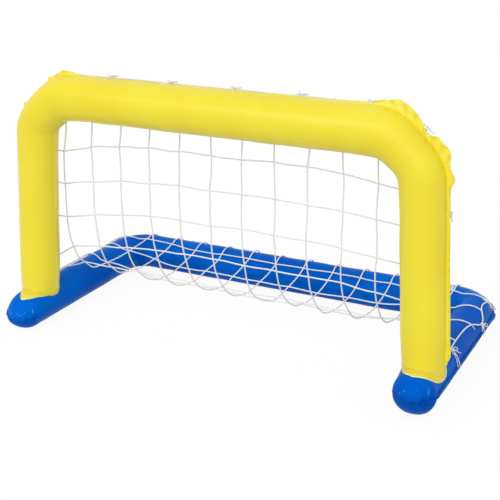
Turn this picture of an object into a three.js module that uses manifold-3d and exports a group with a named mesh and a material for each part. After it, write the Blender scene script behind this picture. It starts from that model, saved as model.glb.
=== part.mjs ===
// Inflatable water polo goal: a welded yellow arch on a welded blue base, a tied net and two valves.
// Millimetres, +Z up, the mouth faces -Y. It is laid out from the floor point midway between the posts,
// and the whole is then moved so that the origin lies on the floor under its middle.
import * as THREE from "three";
import { mergeVertices } from "three/addons/utils/BufferGeometryUtils.js";
import Module from "manifold-3d";

const wasm = await Module();
wasm.setup();

// Film and fits
const FILM = 0.9; // two sheets of vinyl welded together
const FIT = 0.4; // clear space between two pieces that touch
const OVERRUN = 12; // how far a cut runs past what it cuts
const WELD = 0.001; // points nearer than this are one point

// Arch: two posts and a crossbar, one chamber
const BAR_SPAN = 1170; // between the post axes at crossbar height
const BAR_HEIGHT = 715; // crossbar axis above the floor
const BAR_RADIUS = 64;
const POST_RADIUS = 60;
const POST_FOOT_RADIUS = 55;
const POST_TAPER = 130; // height over which a post widens from its foot
const ARCH_BEND = 120; // centre line of the upper corners

// Base: two legs and a rear tube, one chamber lying on the floor
const LEG_SPAN = 1246; // between the leg axes
const REAR_REACH = 556; // rear tube axis behind the arch
const FOOT_REACH = 136; // leg tips in front of the arch
const BASE_HALF_WIDTH = 58;
const BASE_HALF_HEIGHT = 56;
const BASE_BEND = 80; // centre line of the rear corners
const BASE_FLAT = 1.5; // how much the floor flattens the underside
const TIP_LENGTH = 60; // over which a leg closes to its tip
const TIP_ROUND = 1.25; // how much faster a tip loses height than width
const TIP_SHARES = [0.01, 0.1, 0.28, 0.5, 0.75];

// Weld margins: the two sheets left standing outside the weld, gathered round the corners
const ARCH_MARGIN = 16;
const ARCH_CORNER_MARGIN = 33;
const BASE_MARGIN = 13;
const BASE_CORNER_MARGIN = 32;
const RUFFLE_DEPTH = 7;
const RUFFLES = 6; // to a corner
const SCALLOP_SHARE = 0.75; // width left between two ruffles
const MARGIN_ROOT = 3; // how far a margin reaches into its chamber

// Net
const CORD_RADIUS = 1.25;
const POST_INSET = 35; // from a post axis at crossbar height to the last full column
const LEG_INSET = 73; // and from a leg axis
const CELL_HEIGHT = 104;
const NET_COLUMNS = 14;
const CURTAIN_ROWS = 4;
const NET_STANDOFF = 4.4; // cord axis above a tube that carries it
const FIRST_ROW_DROP = 40; // first row below the crossbar axis
const SAG_FRONT_RUN = 20; // the four pull points of the sag curve behind the curtain
const SAG_FRONT_HEIGHT = 60;
const SAG_REAR_RUN = 197;
const SAG_REAR_HEIGHT = 40;
const CREST_RUN = 29; // where the net meets the rear tube, in front of its axis
const SAG_ROW_SHARES = [0, 0.14, 0.33, 0.58, 0.81, 1];
const LEG_ROW_SHARES = [0.155, 0.46, 0.712, 0.875, 1];
const LEG_START_ROWS = 5.5; // the border lies on the leg from here back
const LEG_START = 105; // and that is so far behind the arch
const BORDER_DRAW = 80; // pull point of the border between post and leg
const BORDER_DRAW_HEIGHT = 170;
const LIFT_SHARE = 0.75; // how far the legs hold the net up beside them
const LIFT_COLUMNS = 2; // columns over which they do
const ARCH_TIE_ANGLE = THREE.MathUtils.degToRad(14);
const BASE_TIE_ANGLE = THREE.MathUtils.degToRad(57);
const STOP_GAP = 1.1; // between a loose cord end and the cord that it meets
const PROBE = 0.02; // share of a cell over which the net's directions are read

// Ties
const TIE_RADIUS = 1;
const KNOT_RADIUS = 3;
const HOLE_INSET = 7.5; // tie hole inside the edge of a margin
const HOLE_RADIUS = 2.4;
const LOOP_CLEAR = 3.2; // tie cord axis from what it goes round
const KNOT_SHARE = 0.35; // of the way from the margin to the net's border
const RETURN_SHARE = 0.1; // where the loop leaves the chamber for its hole
const TOP_TIE_COLUMNS = [3, 5, 7, 9, 11];
const TOP_TIE_SHARE = 0.07; // of a cell beside its column
const CORNER_TIE_SHARE = 0.2; // of a cell beside the border
const REAR_TIE_COLUMNS = [2.5, 4.5, 6.5, 8.5, 10.5];
const POST_TIE_ROWS = 2.5;
const LEG_TIE_ROWS = [5.6, 7.5];
const CORNER_TIE_ROWS = 9.5;

// Valves
const SEAT_RADIUS = 17;
const SEAT_THICKNESS = 1;
const STEM_RADIUS = 6.6;
const STEM_BORE = 4.4;
const STEM_LENGTH = 15;
const LIP_RADIUS = 7.8;
const LIP_THICKNESS = 1.3;
const CAP_RADIUS = 7.2;
const CAP_THICKNESS = 1.5;
const PLUG_LENGTH = 8;
const HINGE_OFFSET = 10.4;
const KNUCKLE_RADIUS = 1.2;
const KNUCKLE_HALF = 2;
const ARM_WIDTH = 2;
const ARM_OVERLAP = 1.5;
const POCKET_DEPTH = 24;
const ARCH_VALVE_HEIGHT = 312;
const BASE_VALVE_INSET = 93; // from a leg axis towards the middle
const BASE_VALVE_TILT = THREE.MathUtils.degToRad(10);

// Facets
const ARCH_SIDES = 24;
const BASE_SIDES = 24;
const RUN_STEPS = 3;
const BEND_STEPS = 8;
const RUFFLE_STEPS = 4;
const TRACK_STEPS = 24;
const WRAP_SPACING = 15; // of the bends in a row's end that goes round a post or leg
const BAR_WRAP_STEPS = 6;
const CREST_STEPS = 3;
const CORD_STEPS = 2;
const CORNER_STEPS = 3;
const TIE_SIDES = 4;
const STRAND_STEPS = 4;
const ARCH_TIE_STEPS = 1;
const BASE_TIE_STEPS = 4;
const HOLE_SIDES = 8;
const VALVE_SIDES = 16;
const PLUG_STEPS = 4;

// Colours
const YELLOW = { color: 0xf4dd22, roughness: 0.35, metalness: 0 };
const BLUE = { color: 0x0b55c8, roughness: 0.25, metalness: 0 };
const CORD_WHITE = { color: 0xe9e7e0, roughness: 0.85, metalness: 0 };
const CLEAR_VINYL = { color: 0xe6ead9, roughness: 0.3, metalness: 0 };

// Lengths that follow
const HALF = 1 / 2;
const UP = new THREE.Vector3(0, 0, 1);
const BACK = new THREE.Vector3(0, 1, 0);
const BASE_AXIS = BASE_HALF_HEIGHT - BASE_FLAT;
const BASE_TOP = BASE_AXIS + BASE_HALF_HEIGHT;
const SPLAY = Math.atan2((LEG_SPAN - BAR_SPAN) * HALF, BAR_HEIGHT - BASE_AXIS);
const ARCH_BEND_X = BAR_SPAN * HALF - ARCH_BEND * Math.tan((Math.PI * HALF - SPLAY) * HALF);
const ARCH_BEND_Z = BAR_HEIGHT - ARCH_BEND;
const BASE_BEND_X = LEG_SPAN * HALF - BASE_BEND;
const BASE_BEND_Y = REAR_REACH - BASE_BEND;
const LAST_COLUMN = NET_COLUMNS - 1;
const NET_SPAN = Math.min(BAR_SPAN - 2 * POST_INSET, LEG_SPAN - 2 * LEG_INSET);
const CELL_WIDTH = NET_SPAN / (LAST_COLUMN - 2);
const MIDDLE_COLUMN = LAST_COLUMN * HALF;
const INNER_COLUMN = MIDDLE_COLUMN - 1;
const WRAP_STEPS = Math.ceil((Math.max(BAR_SPAN, LEG_SPAN) - NET_SPAN) * HALF / WRAP_SPACING);
const CREST_ROW = CURTAIN_ROWS + SAG_ROW_SHARES.length - 1;
const LAST_ROW = CREST_ROW + 1;
const LEG_ROW = LAST_ROW - LEG_ROW_SHARES.length + 1;
const CURTAIN_BACK = BAR_RADIUS + NET_STANDOFF;
const CURTAIN_TOP = BAR_HEIGHT - FIRST_ROW_DROP;
const CURTAIN_FOOT = CURTAIN_TOP - (CURTAIN_ROWS - 1) * CELL_HEIGHT;
const BASE_REACH = BASE_HALF_WIDTH + NET_STANDOFF;
const BASE_RISE = BASE_HALF_HEIGHT + NET_STANDOFF;
const BORDER_OUT = BASE_REACH * Math.cos(BASE_TIE_ANGLE);
const BORDER_HEIGHT = BASE_AXIS + BASE_RISE * Math.sin(BASE_TIE_ANGLE);

// A closed geometry as a solid.
function solidOf(geometry) {
  const bare = geometry.clone();
  bare.deleteAttribute("normal");
  bare.deleteAttribute("uv");
  const merged = mergeVertices(bare, WELD);
  const triVerts = new Uint32Array(merged.index.array);
  const vertProperties = merged.attributes.position.array;
  return new wasm.Manifold(new wasm.Mesh({ numProp: 3, vertProperties, triVerts }));
}

function geometryOf(solid) {
  const mesh = solid.getMesh();
  const places = new Float32Array(mesh.numVert * 3);
  for (let i = 0; i < mesh.numVert; i += 1) {
    places.set(mesh.vertProperties.subarray(i * mesh.numProp, i * mesh.numProp + 3), i * 3);
  }
  const geometry = new THREE.BufferGeometry();
  geometry.setAttribute("position", new THREE.BufferAttribute(places, 3));
  geometry.setIndex(new THREE.BufferAttribute(mesh.triVerts, 1));
  geometry.computeVertexNormals();
  return geometry;
}

function shapeOf(places, faces) {
  const geometry = new THREE.BufferGeometry();
  geometry.setAttribute("position", new THREE.Float32BufferAttribute(places, 3));
  geometry.setIndex(faces);
  return solidOf(geometry);
}

// Rings of equal count joined into one skin. A round of rings closes on itself, a row of rings gets
// a flat face at each end.
function skin(rings, closed) {
  const sides = rings[0].length;
  const places = [];
  const faces = [];
  rings.forEach((ring) => ring.forEach((p) => places.push(p.x, p.y, p.z)));
  const spans = closed ? rings.length : rings.length - 1;
  for (let r = 0; r < spans; r += 1) {
    const next = (r + 1) % rings.length;
    for (let s = 0; s < sides; s += 1) {
      const t = (s + 1) % sides;
      faces.push(r * sides + s, next * sides + t, r * sides + t);
      faces.push(r * sides + s, next * sides + s, next * sides + t);
    }
  }
  const last = (rings.length - 1) * sides;
  for (let s = 1; s + 1 < sides && !closed; s += 1) {
    faces.push(0, s, s + 1);
    faces.push(last, last + s + 1, last + s);
  }
  return shapeOf(places, faces);
}

// A centre line of straight runs and round bends. Each station knows its direction, the way out of
// the loop, and how strongly its margin is gathered and ruffled.
function centreLine(corners, bend, lift, runSteps, bendSteps) {
  const stations = [];
  const add = (point, tangent, share) => {
    const out = new THREE.Vector3().crossVectors(tangent, lift);
    const gather = Math.sqrt(Math.max(0, Math.sin(Math.PI * share)));
    const wave = (1 - Math.cos(2 * Math.PI * RUFFLES * share)) * HALF;
    const last = stations[stations.length - 1];
    const along = last ? last.along + last.point.distanceTo(point) : 0;
    stations.push({ point, tangent, out, lift, gather, wave, along });
  };
  let from = corners[0];
  add(from, corners[1].clone().sub(from).normalize(), 0);
  for (let c = 1; c < corners.length; c += 1) {
    const way = corners[c].clone().sub(corners[c - 1]).normalize();
    const next = c + 1 < corners.length ? corners[c + 1].clone().sub(corners[c]).normalize() : way;
    const turn = way.angleTo(next);
    const to = corners[c].clone().addScaledVector(way, -bend * Math.tan(turn * HALF));
    for (let i = 1; i <= runSteps; i += 1) add(from.clone().lerp(to, i / runSteps), way, 0);
    if (turn > 0) {
      const centre = to.clone().addScaledVector(new THREE.Vector3().crossVectors(way, lift), -bend);
      const axle = new THREE.Vector3().crossVectors(way, next).normalize();
      for (let i = 1; i <= bendSteps; i += 1) {
        const tangent = way.clone().applyAxisAngle(axle, (turn * i) / bendSteps);
        const out = new THREE.Vector3().crossVectors(tangent, lift);
        add(centre.clone().addScaledVector(out, bend), tangent, i / bendSteps);
      }
      from = stations[stations.length - 1].point;
    }
  }
  return stations;
}

// A place in the section of a tube.
function beside(station, outward, upward) {
  const place = station.point.clone().addScaledVector(station.out, outward);
  return place.addScaledVector(station.lift, upward);
}

function archLine(runSteps, bendSteps) {
  const corners = [
    new THREE.Vector3(-LEG_SPAN * HALF, 0, BASE_AXIS),
    new THREE.Vector3(-BAR_SPAN * HALF, 0, BAR_HEIGHT),
    new THREE.Vector3(BAR_SPAN * HALF, 0, BAR_HEIGHT),
    new THREE.Vector3(LEG_SPAN * HALF, 0, BASE_AXIS),
  ];
  return centreLine(corners, ARCH_BEND, BACK, runSteps, bendSteps);
}

function baseLine(runSteps, bendSteps) {
  const corners = [
    new THREE.Vector3(LEG_SPAN * HALF, -FOOT_REACH, BASE_AXIS),
    new THREE.Vector3(LEG_SPAN * HALF, REAR_REACH, BASE_AXIS),
    new THREE.Vector3(-LEG_SPAN * HALF, REAR_REACH, BASE_AXIS),
    new THREE.Vector3(-LEG_SPAN * HALF, -FOOT_REACH, BASE_AXIS),
  ];
  return centreLine(corners, BASE_BEND, UP, runSteps, bendSteps);
}

const smooth = (t) => THREE.MathUtils.smoothstep(t, 0, 1);

// The arch is thinnest at its feet and thickest along the crossbar.
function archRadius(height) {
  const taper = smooth((height - BASE_AXIS) / POST_TAPER);
  const foot = POST_FOOT_RADIUS + (POST_RADIUS - POST_FOOT_RADIUS) * taper;
  return foot + (BAR_RADIUS - POST_RADIUS) * smooth((height - ARCH_BEND_Z) / ARCH_BEND);
}

const archSection = (point) => ({ wide: archRadius(point.z), high: archRadius(point.z) });
const baseSection = () => ({ wide: BASE_HALF_WIDTH, high: BASE_HALF_HEIGHT });

const ARCH = {
  track: archLine(RUN_STEPS, TRACK_STEPS),
  section: archSection,
  margin: ARCH_MARGIN,
  cornerMargin: ARCH_CORNER_MARGIN,
};
const BASE = {
  track: baseLine(RUN_STEPS, TRACK_STEPS),
  section: baseSection,
  margin: BASE_MARGIN,
  cornerMargin: BASE_CORNER_MARGIN,
};

function tubeRing(station, wide, high, sides) {
  return Array.from({ length: sides }, (_, s) => {
    const turn = (2 * Math.PI * (s + HALF)) / sides;
    return beside(station, wide * Math.cos(turn), high * Math.sin(turn));
  });
}

// The arch chamber, grown outwards by so much.
function archTube(grown) {
  return skin(archLine(RUN_STEPS, BEND_STEPS).map((station) => {
    const radius = archRadius(station.point.z) + grown;
    return tubeRing(station, radius, radius, ARCH_SIDES);
  }), false);
}

// The stations of the base between the closing ends of its legs.
function baseMiddle(runSteps, bendSteps) {
  const line = baseLine(runSteps, bendSteps);
  const length = line[line.length - 1].along;
  return line.filter((s) => s.along > TIP_LENGTH && s.along < length - TIP_LENGTH);
}

function legTip(end, inward, shares) {
  return shares.map((share) => {
    const point = end.point.clone().addScaledVector(end.tangent, inward * share * TIP_LENGTH);
    return { ...end, point, tip: share };
  });
}

// The base chamber, grown outwards by so much, with closing leg tips and a flat underside.
function baseTube(grown) {
  const line = baseLine(RUN_STEPS, BEND_STEPS);
  const front = legTip(line[0], 1, [...TIP_SHARES, 1]);
  const back = legTip(line[line.length - 1], -1, [...TIP_SHARES, 1]).reverse();
  const stations = [...front, ...baseMiddle(RUN_STEPS, BEND_STEPS), ...back];
  return skin(stations.map((station) => {
    const tip = station.tip === undefined ? 1 : station.tip;
    const round = Math.sqrt(1 - (1 - tip) ** 2);
    const wide = BASE_HALF_WIDTH * round + grown;
    const high = BASE_HALF_HEIGHT * round ** TIP_ROUND + grown;
    const ring = tubeRing(station, wide, high, BASE_SIDES);
    ring.forEach((place) => { place.z = Math.max(place.z, -grown); });
    return ring;
  }), false);
}

// Width of a margin outside the weld, and how far its edge leans out of its plane.
function marginShape(tube, station) {
  const full = SCALLOP_SHARE + (1 - SCALLOP_SHARE) * station.wave;
  const width = tube.margin + (tube.cornerMargin - tube.margin) * station.gather * full;
  return { width, lean: -RUFFLE_DEPTH * station.gather * station.wave };
}

function marginSolid(tube, stations) {
  return skin(stations.map((station) => {
    const root = tube.section(station.point).wide;
    const { width, lean } = marginShape(tube, station);
    return [
      beside(station, root - MARGIN_ROOT, -FILM * HALF),
      beside(station, root + width, lean - FILM * HALF),
      beside(station, root + width, lean + FILM * HALF),
      beside(station, root - MARGIN_ROOT, FILM * HALF),
    ];
  }), false);
}

function archMargin() {
  const line = archLine(RUN_STEPS, RUFFLES * RUFFLE_STEPS);
  const feet = [line[0], line[line.length - 1]].map((end) => {
    const rise = (BASE_TOP - end.point.z) / end.tangent.z;
    return { ...end, point: end.point.clone().addScaledVector(end.tangent, rise) };
  });
  const shown = line.filter((station) => station.point.z > BASE_TOP);
  return marginSolid(ARCH, [feet[0], ...shown, feet[1]]);
}

function baseMargin() {
  const line = baseLine(RUN_STEPS, RUFFLES * RUFFLE_STEPS);
  const front = legTip(line[0], 1, [1]);
  const back = legTip(line[line.length - 1], -1, [1]);
  return marginSolid(BASE, [...front, ...baseMiddle(RUN_STEPS, RUFFLES * RUFFLE_STEPS), ...back]);
}

// The nearest place on a track, with its directions and its margin's gathering.
function nearestStation(track, point) {
  let best = null;
  for (let i = 0; i + 1 < track.length; i += 1) {
    const [a, b] = [track[i], track[i + 1]];
    const run = b.point.clone().sub(a.point);
    const t = THREE.MathUtils.clamp(point.clone().sub(a.point).dot(run) / run.lengthSq(), 0, 1);
    const near = a.point.clone().addScaledVector(run, t);
    const distance = near.distanceTo(point);
    if (!best || distance < best.distance) {
      const tangent = a.tangent.clone().lerp(b.tangent, t).normalize();
      const out = new THREE.Vector3().crossVectors(tangent, a.lift);
      const gather = THREE.MathUtils.lerp(a.gather, b.gather, t);
      const wave = THREE.MathUtils.lerp(a.wave, b.wave, t);
      best = { point: near, tangent, out, lift: a.lift, gather, wave, distance };
    }
  }
  return best;
}

// Where a point lies in the section of a tube, and how far out as a share of the cord's own path.
function inSection(tube, point) {
  const near = nearestStation(tube.track, point);
  const { wide, high } = tube.section(near.point);
  const offset = point.clone().sub(near.point);
  const outward = offset.dot(near.out);
  const upward = offset.dot(near.lift);
  const reach = Math.hypot(outward / (wide + NET_STANDOFF), upward / (high + NET_STANDOFF));
  return { near, wide, high, outward, upward, reach };
}

// Moves a point straight off a tube until the cord clears it.
function clearOf(tube, point) {
  const { near, outward, upward, reach } = inSection(tube, point);
  return reach > 0 && reach < 1 ? beside(near, outward / reach, upward / reach) : point;
}

// The shares of a table, read at a whole or part row.
function tableAt(shares, row) {
  const place = THREE.MathUtils.clamp(row, 0, shares.length - 1);
  const low = Math.min(Math.floor(place), shares.length - 2);
  return THREE.MathUtils.lerp(shares[low], shares[low + 1], place - low);
}

// Out and back of the border tied along the arch, at a height.
function archBorderOffset(height) {
  const reach = archRadius(height) + NET_STANDOFF;
  return { out: reach * Math.cos(ARCH_TIE_ANGLE), back: reach * Math.sin(ARCH_TIE_ANGLE) };
}

const arcAcross = (radius, rise) => Math.sqrt(Math.max(0, radius ** 2 - rise ** 2));

function archTopEdge(x) {
  const { out, back } = archBorderOffset(BAR_HEIGHT);
  const round = arcAcross(ARCH_BEND + out, Math.max(0, x - ARCH_BEND_X));
  return new THREE.Vector3(x, back, ARCH_BEND_Z + round);
}

function archSideEdge(height) {
  const { out, back } = archBorderOffset(height);
  const onBend = ARCH_BEND_X + arcAcross(ARCH_BEND + out, height - ARCH_BEND_Z);
  const onPost = LEG_SPAN * HALF - (height - BASE_AXIS) * Math.tan(SPLAY) + out / Math.cos(SPLAY);
  return new THREE.Vector3(height > ARCH_BEND_Z ? onBend : onPost, back, height);
}

// The net between curtain and rear tube hangs in a curve, and the legs hold it up beside them.
function sagPoint(x, row) {
  const crest = REAR_REACH - CREST_RUN;
  const crestHeight = BASE_AXIS + (BASE_RISE * arcAcross(BASE_REACH, CREST_RUN)) / BASE_REACH;
  const curve = new THREE.CubicBezierCurve3(
    new THREE.Vector3(x, CURTAIN_BACK, CURTAIN_FOOT),
    new THREE.Vector3(x, CURTAIN_BACK + SAG_FRONT_RUN, SAG_FRONT_HEIGHT),
    new THREE.Vector3(x, crest - SAG_REAR_RUN, SAG_REAR_HEIGHT),
    new THREE.Vector3(x, crest, crestHeight),
  );
  const point = curve.getPoint(tableAt(SAG_ROW_SHARES, row - CURTAIN_ROWS));
  const held = smooth((x / CELL_WIDTH - INNER_COLUMN + LIFT_COLUMNS) / LIFT_COLUMNS);
  point.z += LIFT_SHARE * held * Math.max(0, BASE_AXIS + BASE_RISE - point.z);
  return point;
}

function innerPoint(x, row) {
  const height = CURTAIN_TOP - (Math.max(row, 1) - 1) * CELL_HEIGHT;
  const curtain = new THREE.Vector3(x, CURTAIN_BACK, height);
  if (row <= 1) return archTopEdge(x).lerp(curtain, row);
  if (row <= CURTAIN_ROWS) return curtain;
  if (row <= CREST_ROW) return sagPoint(x, row);
  const tied = new THREE.Vector3(x, REAR_REACH + BORDER_OUT, BORDER_HEIGHT);
  return sagPoint(x, CREST_ROW).lerp(tied, row - CREST_ROW);
}

// The border down a post, over to the leg and back along it to the rear corner.
function borderPoint(row) {
  const corner = ARCH_BEND_Z + Math.SQRT1_2 * (ARCH_BEND + archBorderOffset(BAR_HEIGHT).out);
  if (row <= 1) return archSideEdge(THREE.MathUtils.lerp(corner, CURTAIN_TOP, row));
  if (row <= CURTAIN_ROWS) return archSideEdge(CURTAIN_TOP - (row - 1) * CELL_HEIGHT);
  const onLeg = new THREE.Vector3(LEG_SPAN * HALF + BORDER_OUT, LEG_START, BORDER_HEIGHT);
  if (row <= LEG_START_ROWS) {
    const drawn = new THREE.Vector3(onLeg.x, BORDER_DRAW, BORDER_DRAW_HEIGHT);
    const fall = new THREE.QuadraticBezierCurve3(archSideEdge(CURTAIN_FOOT), drawn, onLeg);
    return fall.getPoint((row - CURTAIN_ROWS) / (LEG_START_ROWS - CURTAIN_ROWS));
  }
  const early = (row - LEG_START_ROWS) / (LEG_ROW - LEG_START_ROWS);
  const share = row < LEG_ROW ? early * LEG_ROW_SHARES[0] : tableAt(LEG_ROW_SHARES, row - LEG_ROW);
  const end = BASE_BEND_Y + Math.SQRT1_2 * (BASE_BEND + BORDER_OUT);
  onLeg.y = THREE.MathUtils.lerp(LEG_START, end, share);
  onLeg.x = BASE_BEND_X + arcAcross(BASE_BEND + BORDER_OUT, Math.max(0, onLeg.y - BASE_BEND_Y));
  return onLeg;
}

// The net as a surface: u counts columns from the left border, v counts rows from the crossbar.
function netPoint(u, v) {
  const across = Math.abs(u - MIDDLE_COLUMN);
  let point = innerPoint(Math.min(across, INNER_COLUMN) * CELL_WIDTH, v);
  if (across > INNER_COLUMN) point.lerp(borderPoint(v), across - INNER_COLUMN);
  point = clearOf(BASE, clearOf(ARCH, point));
  if (u < MIDDLE_COLUMN) point.x = -point.x;
  return point;
}

// Directions of the net at a place: off its face, square to a column and square to a row.
function netFrame(u, v) {
  const rowWay = netPoint(u + PROBE, v).sub(netPoint(u - PROBE, v)).normalize();
  const columnWay = netPoint(u, v + PROBE).sub(netPoint(u, v - PROBE)).normalize();
  const face = new THREE.Vector3().crossVectors(rowWay, columnWay);
  const sine = face.length();
  face.normalize();
  const across = new THREE.Vector3().crossVectors(columnWay, face);
  const along = new THREE.Vector3().crossVectors(face, rowWay);
  return { face, across, along, sine, cosine: Math.abs(rowWay.dot(columnWay)) };
}

// Lines of a panel. A cord has an edge line on each side, and bend lines divide the cords between.
const edgesOf = (at) => [{ at: () => at, side: -1 }, { at: () => at, side: 1 }];

function bendsBetween(from, to, steps) {
  return Array.from({ length: steps - 1 }, (_, k) => {
    const at = from + ((to - from) * (k + 1)) / steps;
    return { at: () => at, side: 0 };
  });
}

// Line where loose cord ends stop just short of the neighbouring panel's cord.
function stopLine(from, to, placeAt) {
  return {
    side: 0,
    at: (other) => {
      const [a, b] = [placeAt(from, other), placeAt(to, other)];
      const { sine, cosine } = netFrame(...a);
      const room = (CORD_RADIUS * (1 + cosine) + STOP_GAP) / sine;
      const span = netPoint(...a).distanceTo(netPoint(...b));
      return from + ((to - from) * room) / span;
    },
  };
}

const onRow = (v, u) => [u, v];
const onColumn = (u, v) => [u, v];

// One panel of net as one closed skin: the cells between lines are filled where a cord runs.
function netPanel(uLines, vLines) {
  const places = [];
  const faces = [];
  const known = new Map();
  const corner = (i, j, c) => {
    const key = [i, j, c].join();
    if (!known.has(key)) {
      const [uLine, vLine] = [uLines[i], vLines[j]];
      const v = vLine.side === 0 ? vLine.at(uLine.at()) : vLine.at();
      const u = uLine.side === 0 ? uLine.at(v) : uLine.at();
      const { face, across, along } = netFrame(u, v);
      const place = netPoint(u, v).addScaledVector(across, uLine.side * CORD_RADIUS);
      place.addScaledVector(along, vLine.side * CORD_RADIUS).addScaledVector(face, c * CORD_RADIUS);
      known.set(key, places.push(place.x, place.y, place.z) / 3 - 1);
    }
    return known.get(key);
  };
  const isCord = (lines, k) => k >= 0 && k + 1 < lines.length && lines[k].side < lines[k + 1].side
    && lines[k].side * lines[k + 1].side < 0;
  const inside = (i, j) => i >= 0 && j >= 0 && i + 1 < uLines.length && j + 1 < vLines.length;
  const filled = (i, j) => inside(i, j) && (isCord(uLines, i) || isCord(vLines, j));
  const quad = (a, b, c, d) => faces.push(a, b, c, a, c, d);
  for (let i = 0; i + 1 < uLines.length; i += 1) {
    for (let j = 0; j + 1 < vLines.length; j += 1) {
      if (filled(i, j)) {
        const loop = [[i, j], [i + 1, j], [i + 1, j + 1], [i, j + 1]];
        const beyond = [[i, j - 1], [i + 1, j], [i, j + 1], [i - 1, j]];
        const top = loop.map(([a, b]) => corner(a, b, 1));
        const under = loop.map(([a, b]) => corner(a, b, -1));
        quad(top[0], top[1], top[2], top[3]);
        quad(under[3], under[2], under[1], under[0]);
        beyond.forEach(([a, b], k) => {
          const n = (k + 1) % 4;
          if (!filled(a, b)) quad(top[n], top[k], under[k], under[n]);
        });
      }
    }
  }
  return shapeOf(places, faces);
}

// Bends in the column cords between a row and the next.
function columnSteps(row, curtainSteps) {
  if (row < 1) return BAR_WRAP_STEPS;
  if (row < CURTAIN_ROWS) return curtainSteps;
  return row < CREST_ROW ? CORD_STEPS : CREST_STEPS;
}

// Row lines from one row to another, with loose ends up to the row above when there is one.
function rowLines(first, last, curtainSteps) {
  const lines = [];
  const above = first - 1;
  if (first > 0) {
    lines.push(stopLine(above, first, onRow));
    lines.push(...bendsBetween(above, first, columnSteps(above, curtainSteps)));
  }
  for (let row = first; row <= last; row += 1) {
    lines.push(...edgesOf(row));
    if (row < last) lines.push(...bendsBetween(row, row + 1, columnSteps(row, curtainSteps)));
  }
  return lines;
}

// Columns within the mouth. Cords that follow the arch's bends get bends of their own.
function middleLines(bendSteps) {
  const lines = [];
  for (let column = 1; column < LAST_COLUMN; column += 1) {
    lines.push(...edgesOf(column));
    const outermost = column === 1 || column === LAST_COLUMN - 2;
    if (outermost) lines.push(...bendsBetween(column, column + 1, bendSteps));
  }
  return lines;
}

// The border column and the loose row ends that reach over to the first inner column.
const rightLines = () => {
  const bends = bendsBetween(LAST_COLUMN - 1, LAST_COLUMN, WRAP_STEPS);
  return [stopLine(LAST_COLUMN - 1, LAST_COLUMN, onColumn), ...bends, ...edgesOf(LAST_COLUMN)];
};
const leftLines = () => {
  const bends = bendsBetween(0, 1, WRAP_STEPS);
  return [...edgesOf(0), ...bends, stopLine(1, 0, onColumn)];
};

function netPanels() {
  const panels = [
    ["net_top", middleLines(CORNER_STEPS), 0, 1],
    ["net_curtain", middleLines(1), 2, CURTAIN_ROWS],
    ["net_knee", middleLines(1), CURTAIN_ROWS + 1, CURTAIN_ROWS + 2],
    ["net_floor", middleLines(1), CURTAIN_ROWS + 3, CREST_ROW - 1],
    ["net_rear", middleLines(1), CREST_ROW, LAST_ROW],
  ];
  [["left", leftLines()], ["right", rightLines()]].forEach(([side, lines]) => {
    panels.push(["net_side_" + side, lines, 0, CURTAIN_ROWS]);
    panels.push(["net_heel_" + side, lines, CURTAIN_ROWS + 1, LEG_ROW]);
    panels.push(["net_leg_" + side, lines, LEG_ROW + 1, LAST_ROW]);
  });
  return panels.map(([name, lines, first, last]) => {
    const curtainSteps = name === "net_curtain" ? 1 : CORD_STEPS;
    return [name, netPanel(lines, rowLines(first, last, curtainSteps))];
  });
}

// Where a tie holds the net: its station, the margin there and the strand that it goes round.
function tiePlace(tube, u, v) {
  const place = inSection(tube, netPoint(u, v));
  const { width, lean } = marginShape(tube, place.near);
  const rise = place.upward / (place.high + NET_STANDOFF);
  const reachOut = place.outward / (place.wide + NET_STANDOFF);
  const angle = Math.atan2(rise, reachOut);
  const strandOff = NET_STANDOFF * place.reach + (place.reach - 1) * place.high;
  return { ...place, width, lean, angle, strandOff };
}

function tieHole(tube, u, v) {
  const { near, wide, width } = tiePlace(tube, u, v);
  const turn = (s) => (2 * Math.PI * s) / HOLE_SIDES;
  const ring = (upward) => Array.from({ length: HOLE_SIDES }, (_, s) => {
    const centre = beside(near, wide + width - HOLE_INSET + HOLE_RADIUS * Math.cos(turn(s)), upward);
    return centre.addScaledVector(near.tangent, HOLE_RADIUS * Math.sin(turn(s)));
  });
  return skin([ring(OVERRUN), ring(-OVERRUN)], false);
}

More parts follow.
